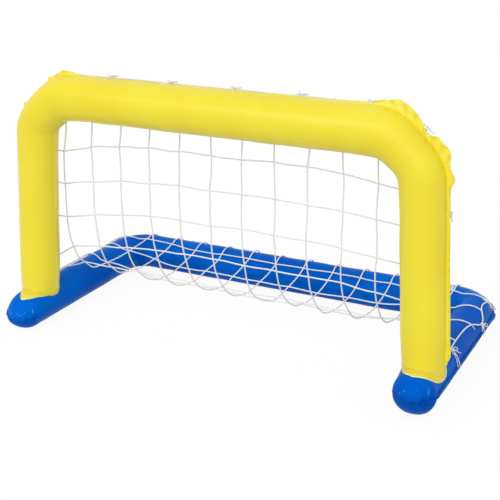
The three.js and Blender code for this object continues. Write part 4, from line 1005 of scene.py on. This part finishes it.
def inner_point(x, row, draw):
    """The net between its borders: bar, curtain, sag, rear tube. The curtain's upper rows are drawn in."""
    drawn = mix(draw, 1, np.clip(row - 1, 0, 1))
    curtain = stacked(x * drawn, CURTAIN_BACK, CURTAIN_TOP - (np.maximum(row, 1) - 1) * CELL_HEIGHT)
    top = mix(arch_top_edge(x * TOP_DRAW), curtain, np.clip(row, 0, 1)[:, None])
    behind = (BASE_WIDE + NET_STANDOFF) * math.cos(REAR_TIE_ANGLE)
    tied = stacked(x, REAR_REACH + behind, BASE_AXIS + (BASE_HIGH + NET_STANDOFF) * math.sin(REAR_TIE_ANGLE))
    rear = mix(sag_point(x, np.full_like(row, CREST_ROW)), tied, np.clip(row - CREST_ROW, 0, 1)[:, None])
    point = np.where((row <= 1)[:, None], top, curtain)
    sag = sag_point(x, np.clip(row, CURTAIN_ROWS, CREST_ROW))
    point = np.where((row > CURTAIN_ROWS)[:, None], sag, point)
    return np.where((row > CREST_ROW)[:, None], rear, point)


def border_point(row):
    """Border down a post, over to the leg and back along it to the rear corner."""
    out = (BAR_RADIUS + NET_STANDOFF) * math.cos(ARCH_TIE_ANGLE)
    corner = ARCH_BEND_Z + math.sqrt(0.5) * (ARCH_BEND + out)
    below = CURTAIN_TOP - (row - 1) * CELL_HEIGHT
    height = np.where(row <= 1, mix(corner, CURTAIN_TOP, np.clip(row, 0, 1)), below)
    point = arch_side_edge(np.clip(height, CURTAIN_FOOT, None))
    pulled = sum(np.exp(-((row - r) / TIE_PULL_ROWS) ** 2) for r in LEG_TIE_ROWS)
    around = BASE_TIE_ANGLE - TIE_PULL * np.clip(pulled, 0, 1)
    late = smooth((row - LAST_ROW + TIE_PULL_ROWS) / TIE_PULL_ROWS)
    around = mix(around, REAR_TIE_ANGLE - math.radians(8), late)
    out = (BASE_WIDE + NET_STANDOFF) * np.cos(around)
    level = BASE_AXIS + (BASE_HIGH + NET_STANDOFF) * np.sin(around)
    t = np.clip((row - CURTAIN_ROWS) / (LEG_START_ROWS - CURTAIN_ROWS), 0, 1)
    foot = arch_side_edge(np.full_like(row, CURTAIN_FOOT))
    start = stacked(HALF_LEGS + BORDER_OUT, LEG_START, np.full_like(row, BORDER_HEIGHT))
    pull = stacked(HALF_LEGS + BORDER_OUT, BORDER_DRAW, np.full_like(row, BORDER_DRAW_HEIGHT))
    fall = bezier([foot, pull, start], t)
    early = (row - LEG_START_ROWS) / (LEG_ROW - LEG_START_ROWS) * LEG_SHARES[0]
    share = np.where(row < LEG_ROW, early, table_at(LEG_SHARES, row - LEG_ROW))
    end = BASE_BEND_Y + math.sqrt(0.5) * (BASE_BEND + out)
    y = mix(LEG_START, end, share)
    leg = stacked(BASE_BEND_X + arc_across(BASE_BEND + out, np.clip(y - BASE_BEND_Y, 0, None)), y, level)
    point = np.where((row > CURTAIN_ROWS)[:, None], fall, point)
    return np.where((row > LEG_START_ROWS)[:, None], leg, point)


def net_point(u, v):
    """The net as a surface: u counts columns from the left border, v rows from the crossbar."""
    u, v = (np.asarray(x, float) for x in np.broadcast_arrays(u, v))
    across = np.abs(u - MIDDLE_COLUMN)
    draw = np.where(u < MIDDLE_COLUMN, CURTAIN_DRAW_LEFT, 1)
    point = inner_point(np.minimum(across, INNER_COLUMN) * CELL_WIDTH, v, draw)
    point = mix(point, border_point(v), np.clip(across - INNER_COLUMN, 0, 1)[:, None])
    point[:, 2] += arched(across, v, np.where(u < MIDDLE_COLUMN, -1, 1))
    point = clear_of_both(point)
    point[:, 0] *= np.where(u < MIDDLE_COLUMN, -1, 1)
    return point


def on_bend(points):
    """Points by the arch's bends move in with the film there, and on the left also round to the back."""
    near = nearest(ARCH, points)
    offset = points - near["point"]
    outward, backward = (offset * near["out"]).sum(-1), offset @ BACK
    by_film = np.exp(-(np.clip(np.linalg.norm(offset, axis=-1) / BAR_RADIUS - 1, 0, None) / 0.5) ** 2)
    share = bend_share(near) * by_film
    turn = CORNER_TURN * share * (points[:, 0] < 0)
    moved = outward * (np.cos(turn) - 1) - backward * np.sin(turn) - CORNER_DRAW * share * np.sign(outward)
    back = outward * np.sin(turn) + backward * (np.cos(turn) - 1)
    return points + near["out"] * moved[:, None] + BACK * back[:, None]


KNOT_SHIFTS = rng.normal(0, 1, (NET_COLUMNS, LAST_ROW + 1, 3)) * np.array([0.0022, 0.0012, 0.0022])
KNOT_SHIFTS[:, (0, LAST_ROW)] *= 0.3
KNOT_SHIFTS[(0, -1), :] *= 0.3


def loose_point(u, v):
    """The net with each knot a little out of true, and the cords following their knots."""
    u, v = (np.asarray(x, float) for x in np.broadcast_arrays(u, v))
    i, j = (np.clip(np.floor(x), 0, last - 1).astype(int) for x, last in ((u, LAST_COLUMN), (v, LAST_ROW)))
    s, t = (u - i)[:, None], (v - j)[:, None]
    above, below = (mix(KNOT_SHIFTS[i, k], KNOT_SHIFTS[i + 1, k], s) for k in (j, j + 1))
    return net_point(u, v) + mix(above, below, t)


def bowed(path, slack):
    """Each stretch of a cord between two knots bows out of line, by half a sine wave of its own size and
    way."""
    n = (len(path) - 1) // STEPS_PER_CELL
    f = np.arange(len(path)) / STEPS_PER_CELL
    k = np.minimum(f.astype(int), n - 1)
    bow = rng.normal(0, 1, (n, 3)) * slack * np.array([1, 0.6, 0.8]) - np.array([0, 0, 0.4 * slack])
    kink = rng.normal(0, 1, (n, 3)) * slack * 0.35
    half, whole = (np.sin(turns * math.pi * (f - k))[:, None] for turns in (1, 2))
    return path + half * bow[k] + whole * kink[k]


def net_cords():
    """Every cord of the net as a path and a way square to it: columns, rows and the border, each clear of the
    tubes."""
    down = np.arange(LAST_ROW * STEPS_PER_CELL + 1) / STEPS_PER_CELL
    over = np.arange(LAST_COLUMN * STEPS_PER_CELL + 1) / STEPS_PER_CELL
    cords = []
    for column in range(NET_COLUMNS):
        slack = BORDER_SLACK if column in (0, LAST_COLUMN) else COLUMN_SLACK
        cords.append((bowed(loose_point(np.full_like(down, column), down), slack), np.array([1.0, 0, 0])))
    for row in range(LAST_ROW + 1):
        slack = BORDER_SLACK if row in (0, LAST_ROW) else ROW_SLACK
        normal = BACK if row == 0 or CURTAIN_ROWS < row < CREST_ROW else UP
        cords.append((bowed(loose_point(over, np.full_like(over, row)), slack), normal))
    return [(on_bend(clear_of_both(path, CORD_GAP + CORD_RADIUS)), normal) for path, normal in cords]


def knot_shape(radius, cord, steps, sides):
    """A small overhand knot: a cord on a trefoil curve."""
    t = full_turn(steps)
    ring = 1 + 0.42 * np.cos(3 * t)
    curve = radius * np.stack([ring * np.cos(2 * t), ring * np.sin(2 * t), 0.5 * np.sin(3 * t)], 1)
    return carried(curve, cord, sides, UP, close=True)


def turned_at(places, seed):
    """Random turns, one for each place, as rotation matrices from unit quaternions."""
    q = np.random.default_rng(seed).normal(0, 1, (len(places), 4))
    w, x, y, z = unit(q).T
    rows = [1 - 2 * (y * y + z * z), 2 * (x * y - z * w), 2 * (x * z + y * w),
            2 * (x * y + z * w), 1 - 2 * (x * x + z * z), 2 * (y * z - x * w),
            2 * (x * z - y * w), 2 * (y * z + x * w), 1 - 2 * (x * x + y * y)]
    return np.stack(rows, -1).reshape(-1, 3, 3)


def copies(shape, places, seed):
    """One shape at many places, each turned its own way."""
    verts, faces, uv = shape
    moved = np.einsum("kij,vj->kvi", turned_at(places, seed), verts) + places[:, None]
    numbered = faces[None] + len(verts) * np.arange(len(places))[:, None, None]
    return moved.reshape(-1, 3), numbered.reshape(-1, faces.shape[1]), np.tile(uv, (len(places), 1))


def net_mesh():
    """The whole net: its cords, a knot at each crossing, and a short tail at each knot of the border."""
    cords = net_cords()
    parts = [carried(path, CORD_RADIUS * CORD_FULL, 8, normal) for path, normal in cords]
    columns, rows = np.meshgrid(np.arange(NET_COLUMNS), np.arange(LAST_ROW + 1), indexing="ij")
    columns, rows = columns.ravel(), rows.ravel()
    knots = np.array([cords[c][0][STEPS_PER_CELL * r] for c, r in zip(columns, rows)])
    parts.append(copies(knot_shape(NET_KNOT, KNOT_CORD, 18, 4), knots, 61))
    edge = np.isin(columns, (0, LAST_COLUMN)) | np.isin(rows, (0, LAST_ROW))
    ways = unit(rng.normal(0, 1, (edge.sum(), 3)) + np.array([0, 0.4, -0.2]))
    for place, way in zip(knots[edge], ways):
        length = rng.uniform(*TAIL_LENGTHS)
        bend = unit(rng.normal(0, 1, 3)) * TAIL_BEND
        t = np.linspace(0, 1, 6)[:, None]
        path = place + length * (way * t + bend * t * t) + np.array([0, 0, TAIL_DROP]) * t ** 2
        normal = unit(np.cross(way, bend))
        parts.append(carried(clear_of_both(path, TAIL_CLEAR), CORD_RADIUS * TAIL_THICK, 6, normal))
    return joined(parts)


# The ties
def tie_place(tube, u, v):
    """Where a tie goes round the margin: its place on the centre line, the tube's half width and height
    there, the margin's width and lean, and the net's angle round the tube and distance off it."""
    near, wide, high, outward, upward, reach = in_section(tube, net_point(np.array([u]), np.array([v])))
    near = {k: (x[0] if k != "lift" else x) for k, x in near.items()}
    width, lean = margin_shape(tube, {k: np.array(near[k]) for k in ("along", "gather")})
    angle = math.atan2(upward[0] / (high[0] + NET_STANDOFF), outward[0] / (wide[0] + NET_STANDOFF))
    off = NET_STANDOFF * reach[0] + (reach[0] - 1) * high[0]
    return near, wide[0], high[0], float(width), lean, angle, off


def tie_mesh(tube, u, v, seed):
    """A tie: a loop of cord through the margin, round its edge and round the net's border, with a knot, a
    bow's two loops and two loose ends that lie on the tube."""
    near, wide, high, width, lean, angle, off = tie_place(tube, u, v)
    local = np.random.default_rng(seed)
    stand, square = leaning(near, lean)
    if tube is ARCH:
        angle += CORNER_TURN * bend_share(near) * (near["point"][0] < 0)
        near["point"] = near["point"] - near["out"] * CORNER_DRAW * bend_share(near)
    knot_share, bow_size = (BASE_KNOT_SHARE, 1.0) if tube is BASE else (ARCH_KNOT_SHARE, ARCH_BOW_SIZE)
    knot_turn = angle * knot_share

    def flat(inset, rise):
        return beside(near, wide, 0) + stand * (width - inset) + square * rise

    def round_at(lift, turn):
        return beside(near, (wide + lift) * math.cos(turn), (high + lift) * math.sin(turn))

    hole, over, loop = min(tube["hole"], 0.5 * width), LOOP_RISE, LOOP_CLEAR * 0.8
    points = [flat(hole, 0), flat(hole - LOOP_CLEAR, -over), flat(-EDGE_CLEAR, -over), flat(-over, 0),
              flat(-EDGE_CLEAR, over)]
    points += [round_at(off + LOOP_CLEAR * 0.7, angle * mix(RUN_SHARE, 1, t)) for t in (0, 0.33, 0.66)]
    points += [round_at(off + loop * math.cos(t), angle + loop * math.sin(t) / (wide + off))
               for t in np.linspace(0, math.pi, 5)]
    points += [round_at(TIE_RADIUS * 1.2, angle * mix(1, RETURN_SHARE, t)) for t in (0.33, 0.66, 1)]
    points.append(flat(hole + TIE_RADIUS, over))
    parts = [carried(closed_spline(points, 6), TIE_RADIUS, 8, near["way"], close=True)]

    knot = round_at(off + LOOP_CLEAR, knot_turn)
    verts, faces, uv = knot_shape(TIE_KNOT, KNOT_CORD, 42, 7)
    parts.append((verts @ turned_at(np.zeros((1, 3)), seed)[0].T + knot, faces, uv))
    down = unit(round_at(off, knot_turn - 0.05) - round_at(off, knot_turn))
    out = unit(knot - near["point"])
    for side in (-1, 1):
        length, spread = local.uniform(*BOW_LENGTHS) * bow_size, local.uniform(*BOW_SPREADS)
        way = unit(near["way"] * side + down * local.uniform(0.1, 0.8))
        t = np.linspace(0, 1, 22)[:, None]
        half, whole = np.sin(math.pi * t), np.sin(2 * math.pi * t)
        path = knot + way * length * half + np.cross(out, way) * spread * whole
        path = path + out * (BOW_RISE + BOW_ARCH * half)
        parts.append(carried(clear_of_both(path, LOOSE_CLEAR), TIE_RADIUS, 8, out))
        length = local.uniform(*END_LENGTHS) * bow_size
        way = unit(near["way"] * side * local.uniform(0.3, 1) + down * local.uniform(0.7, 1.2))
        t = np.linspace(0, 1, 12)[:, None]
        curl = np.cross(out, way) * local.normal(0, END_CURL)
        path = knot + way * length * t + curl * np.sin(END_TURN * t) + out * END_RISE * (1 - t)
        parts.append(carried(clear_of_both(path, LOOSE_CLEAR), TIE_RADIUS, 8, out))
    return joined(parts)


# The valves
def turned(profile):
    """A profile of radius and height turned about the height axis. Local axes: hinge side, outwards,
    third."""
    radius, height = (x[:, None] for x in np.array(profile, float).T)
    turn = full_turn(TURNED_SIDES)[None]
    return np.stack(np.broadcast_arrays(radius * np.cos(turn), height, radius * np.sin(turn)), -1)


def rod(start, end):
    """The hinge's round bar along the third axis, with rounded ends."""
    z = np.array([start, start, start + EASE, end - EASE, end, end])
    size = np.array([0.02, 0.75, 1, 1, 0.75, 0.02])[:, None] * KNUCKLE_RADIUS
    turn = full_turn(ROD_SIDES)[None]
    points = np.stack(np.broadcast_arrays(size * np.cos(turn), size * np.sin(turn), z[:, None]), -1)
    return points + np.array([HINGE_OFFSET, HINGE_HEIGHT, 0])


def slab(low, high):
    """A small bar with eased edges, as four rings along its length: the first and last drawn in."""
    low, high = np.array(low, float), np.array(high, float)
    turn = np.array([[1, 1], [-1, 1], [-1, -1], [1, -1]])
    rings = []
    for x, inset in zip((low[0], low[0] + EASE, high[0] - EASE, high[0]), (EASE, 0, 0, EASE)):
        y, z = ((low[k] + high[k]) / 2 + turn[:, k - 1] * ((high[k] - low[k]) / 2 - inset) for k in (1, 2))
        rings.append(np.stack([np.full(4, x), y, z], 1))
    return np.array(rings)


def as_part(points):
    """A closed shape from its rings, with flat ends."""
    verts, faces = lay_grid(points)
    return verts, rim_caps(faces, *points.shape[:2]), verts[:, :2] * 0


def valve_stem_mesh():
    """Soft sleeve with a rolled lip, a thin-walled bore and two arms that carry the hinge."""
    bottom, edge = LIP_BASE - STEM_LENGTH, ROLLED_EDGE
    profile = [(STEM_BORE, bottom), (STEM_RADIUS - edge, bottom), (STEM_RADIUS, bottom + edge),
               (STEM_RADIUS, LIP_BASE), (LIP_RADIUS - edge, LIP_BASE), (LIP_RADIUS, LIP_BASE + edge),
               (LIP_RADIUS, LIP_TOP - edge), (LIP_RADIUS - edge, LIP_TOP), (STEM_BORE + edge, LIP_TOP),
               (STEM_BORE, LIP_TOP - edge), (STEM_BORE, bottom + STEM_FLOOR)]
    verts, faces = lay_grid(turned(profile), close_rows=True)
    parts = [(verts, faces, verts[:, :2] * 0)]
    above, below, reach = bottom + STEM_FLOOR_TOP, bottom + STEM_FLOOR_UNDER, STEM_BORE + FLOOR_LAP
    parts.append(as_part(turned([(POLE, above), (reach, above), (reach, below), (POLE, below)])))
    inner = KNUCKLE_HALF + HINGE_PLAY
    outer = inner + ARM_WIDTH
    for start, end in ((inner, outer), (-outer, -inner)):
        arm = slab((LIP_RADIUS - ARM_ROOT, LIP_BASE, start), (HINGE_OFFSET, LIP_TOP, end))
        parts += [as_part(arm), as_part(rod(start, end))]
    return joined(parts)


def valve_plug_mesh():
    """Round cap with a dished top and a rolled edge, its peg below, and a strap to the hinge."""
    reach, edge = HINGE_OFFSET + STEM_BORE - PEG_CLEAR, ROLLED_EDGE
    depth = np.linspace(PLUG_LENGTH, HINGE_HEIGHT - CAP_BASE, 7)
    peg = [(math.sqrt(reach ** 2 - d * d) - HINGE_OFFSET, HINGE_HEIGHT - d) for d in depth]
    profile = [(POLE, HINGE_HEIGHT - PLUG_LENGTH), *peg, (CAP_RADIUS - 0.0005, CAP_BASE),
               (CAP_RADIUS, CAP_BASE + edge), (CAP_RADIUS, CAP_TOP - edge), (CAP_RADIUS - edge, CAP_TOP),
               *CAP_DISH]
    strap = slab((CAP_RADIUS - ARM_ROOT, CAP_BASE, -KNUCKLE_HALF), (HINGE_OFFSET, CAP_TOP, KNUCKLE_HALF))
    return joined([as_part(turned(profile)), as_part(strap), as_part(rod(-KNUCKLE_HALF, KNUCKLE_HALF))])


def valve_frame(tube):
    """A valve's axes (hinge side, outwards, third) as rows, and its point on the film."""
    if tube is ARCH:
        near = nearest(ARCH, np.array([[-HALF_LEGS, 0, ARCH_VALVE_HEIGHT]]))
        way, point = near["way"][0], near["point"][0]
        hinge, out = -way, BACK
        origin = point + BACK * arch_radius(point[2])
    else:
        sine, cosine = math.sin(BASE_VALVE_TILT), math.cos(BASE_VALVE_TILT)
        out = np.array([0, -sine, cosine])
        hinge = np.array([0, cosine, sine])
        origin = np.array([HALF_LEGS - BASE_VALVE_INSET, REAR_REACH - BASE_WIDE * sine,
                           BASE_AXIS + BASE_HIGH * cosine])
    return np.array([hinge, out, np.cross(hinge, out)]), origin


def seat_mesh(tube):
    """Soft disc welded on the tube: a ring with an eased rim, laid on the tube's curve."""
    axes, origin = valve_frame(tube)
    radius, height = np.array(SEAT_SECTION).T
    turn = full_turn(SEAT_SIDES)[None]
    local = radius[:, None, None] * swung(axes[0], axes[2], turn)
    near, _, _, outward, upward, reach = in_section(tube, (origin + local).reshape(-1, 3), 0.0)
    scale = 1 / reach + np.repeat(height, SEAT_SIDES) / np.hypot(outward, upward)
    points = beside(near, outward * scale, upward * scale)
    verts, faces = lay_grid(points.reshape(local.shape), close_rows=True)
    return verts, faced_out(verts, faces)


def placed(mesh, tube):
    """A valve's piece in its place on a tube."""
    axes, origin = valve_frame(tube)
    return mesh[0] @ axes + origin, mesh[1]


def pocket_mesh(tube):
    """Sleeve of film that a valve stem slides in: a cup below the seat."""
    profile = [(POCKET_FLARE, POCKET_RIM), (POCKET_INNER, POCKET_RIM), (POCKET_INNER, POCKET_FLOOR),
               (POLE, POCKET_FLOOR), (POLE, -POCKET_DEPTH), (POCKET_OUTER, -POCKET_DEPTH),
               (POCKET_FLARE, POCKET_NECK)]
    return placed(lay_grid(turned(profile), close_rows=True, flip=True), tube)


# Putting it together
def add(name, mesh, mat, body, nodes=(), fields=None, uv=None):
    """A piece with its body and the nodes that it stands in for."""
    piece = mesh_object(name, mesh[0], mesh[1], mat, uv=uv, fields=fields)
    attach(piece, body)
    if nodes:
        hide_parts(*nodes)


TOP_TIES = [(f"tie_top_{k + 1}", ARCH, c + 0.07, 0) for k, c in enumerate((3, 5, 7, 9, 11))]
REAR_TIES = [(f"tie_rear_{k + 1}", BASE, c, LAST_ROW) for k, c in enumerate((2.5, 4.5, 6.5, 8.5, 10.5))]
SIDE_TIES = []
for hand, edge_column, corner_column in (("left", 0, 0.2), ("right", LAST_COLUMN, LAST_COLUMN - 0.2)):
    SIDE_TIES += [(f"tie_arch_corner_{hand}", ARCH, corner_column, 0),
                  (f"tie_post_{hand}", ARCH, edge_column, 2.5),
                  (f"tie_leg_{hand}_1", BASE, edge_column, 5.6),
                  (f"tie_leg_{hand}_2", BASE, edge_column, 7.5),
                  (f"tie_base_corner_{hand}", BASE, edge_column, 9.5)]
TIES = TOP_TIES + REAR_TIES + SIDE_TIES


def notches_on(tube):
    """Where the ties draw a margin in."""
    return [tie_place(t, u, v)[0]["along"] for _, t, u, v in TIES if t is tube]


(arch_axes, arch_valve), (base_axes, base_valve) = valve_frame(ARCH), valve_frame(BASE)
verts, faces, fold_shade, weld = arch_film()
verts = dipped(verts, arch_valve, arch_axes[1])
fields = {"fold_shade": fold_shade, "weld": weld}
add("arch_film", (verts, faces), YELLOW, "goal", ["arch_chamber"], fields)
verts, faces, uv, fold_shade = arch_margin(notches_on(ARCH))
add("arch_margin", (verts, faces), YELLOW_EDGE, "goal", fields={"fold_shade": fold_shade}, uv=uv)
for hand, side in (("left", -1), ("right", 1)):
    add(f"post_hem_{hand}", post_hem(side), HEM, "goal")
    add(f"post_flange_{hand}", post_flange(side), HEM, "goal")
    add(f"post_bead_{hand}", post_bead(side), BEAD, "goal")
add("arch_valve_pocket", pocket_mesh(ARCH), YELLOW, "goal")

verts, faces, fields = base_film()
verts = dipped(verts, base_valve, base_axes[1])
add("base_film", (verts, faces), BLUE, "goal", ["base_chamber"], fields)
verts, faces, uv, fold_shade = base_margin(notches_on(BASE))
add("base_margin", (verts, faces), BLUE_EDGE, "goal", fields={"fold_shade": fold_shade}, uv=uv)
add("base_valve_pocket", pocket_mesh(BASE), BLUE, "goal")

NET_NODES = [n for n in sorted(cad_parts) if n.startswith("net_")]
verts, faces, uv = net_mesh()
add("net", (verts, faces), CORD, "goal", NET_NODES, uv=uv)
for k, (name, tube, u, v) in enumerate(TIES):
    verts, faces, uv = tie_mesh(tube, u, v, 100 + k)
    add("cord_" + name, (verts, faces), CORD, "goal", [name], uv=uv)

for name, tube in (("arch", ARCH), ("base", BASE)):
    stem, plug = placed(valve_stem_mesh(), tube), placed(valve_plug_mesh(), tube)
    add(f"{name}_seat_ring", seat_mesh(tube), CLEAR, "goal", [f"{name}_valve_seat"])
    add(f"{name}_stem_sleeve", stem, CLEAR, f"{name}_stem", [f"{name}_valve_stem"])
    add(f"{name}_plug_cap", plug, CLEAR, f"{name}_plug", [f"{name}_valve_plug"])


# Floor, light and camera
FLOOR_WHITE, SKY_LIGHT, WHITE = 0.88, 0.72, (1, 1, 1, 1)


def floor_finish():
    """Pale floor: the camera mostly sees an even white, over a matt surface that takes the shadows."""
    f = Finish("pale_floor", 0.9, Specular_IOR_Level=0.0)
    even = f.node("ShaderNodeEmission", Color=WHITE, Strength=1.05)
    f.layered(f.times(f.white_seen(), FLOOR_WHITE), f.shader.outputs[0], even.outputs[0],
              f.nodes["Material Output"].inputs["Surface"])
    return f.finished(f.drift(1.2, 2.0, 0.3, 0.7, (0.70, 0.70, 0.70), (0.68, 0.68, 0.68)))


floor = bpy.data.meshes.new("floor")
corners = [(x, y, -0.0005) for x, y in ((-40, -40), (40, -40), (40, 60), (-40, 60))]
floor.from_pydata(corners, [], [(0, 1, 2, 3)])
floor.materials.append(floor_finish())
in_scene("floor", floor)

world = bpy.data.worlds.new("studio")
bpy.context.scene.world = world
world.use_nodes = True
sky = NodeTree(world.node_tree)
shown = sky.nodes["Background"]
shown.inputs["Color"].default_value = WHITE
shown.inputs["Strength"].default_value = 1.0
lit = sky.node("ShaderNodeBackground", Color=WHITE, Strength=SKY_LIGHT)
sky.layered(sky.white_seen(), lit.outputs[0], shown.outputs[0], sky.nodes["World Output"].inputs["Surface"])


def lamp(name, strength, spread, azimuth, elevation):
    """A broad even light from far off, by its bearing round the goal and its height."""
    light = bpy.data.lights.new(name, "SUN")
    light.energy, light.angle = strength, math.radians(spread)
    in_scene(name, light).rotation_euler = (math.radians(90 - elevation), 0, math.radians(azimuth))


lamp("key_light", 0.94, 60, 19, 34)
lamp("near_light", 0.36, 20, -24, 33)

# The camera's place, its height and bearing in degrees, and its lens, from the straight tubes in the photo
CAMERA_PLACE, CAMERA_HEIGHT, CAMERA_BEARING, LENS = (1.3309, -2.72565, 1.3338), 19.773, 26.258, 76.36
camera_data = bpy.data.cameras.new("camera")
camera_data.lens, camera_data.sensor_width = LENS, 36
camera = in_scene("camera", camera_data)
camera.location = CAMERA_PLACE
camera.rotation_euler = (math.radians(90 - CAMERA_HEIGHT), 0, math.radians(CAMERA_BEARING))
bpy.context.scene.camera = camera

bpy.context.scene.view_settings.view_transform = "Standard"
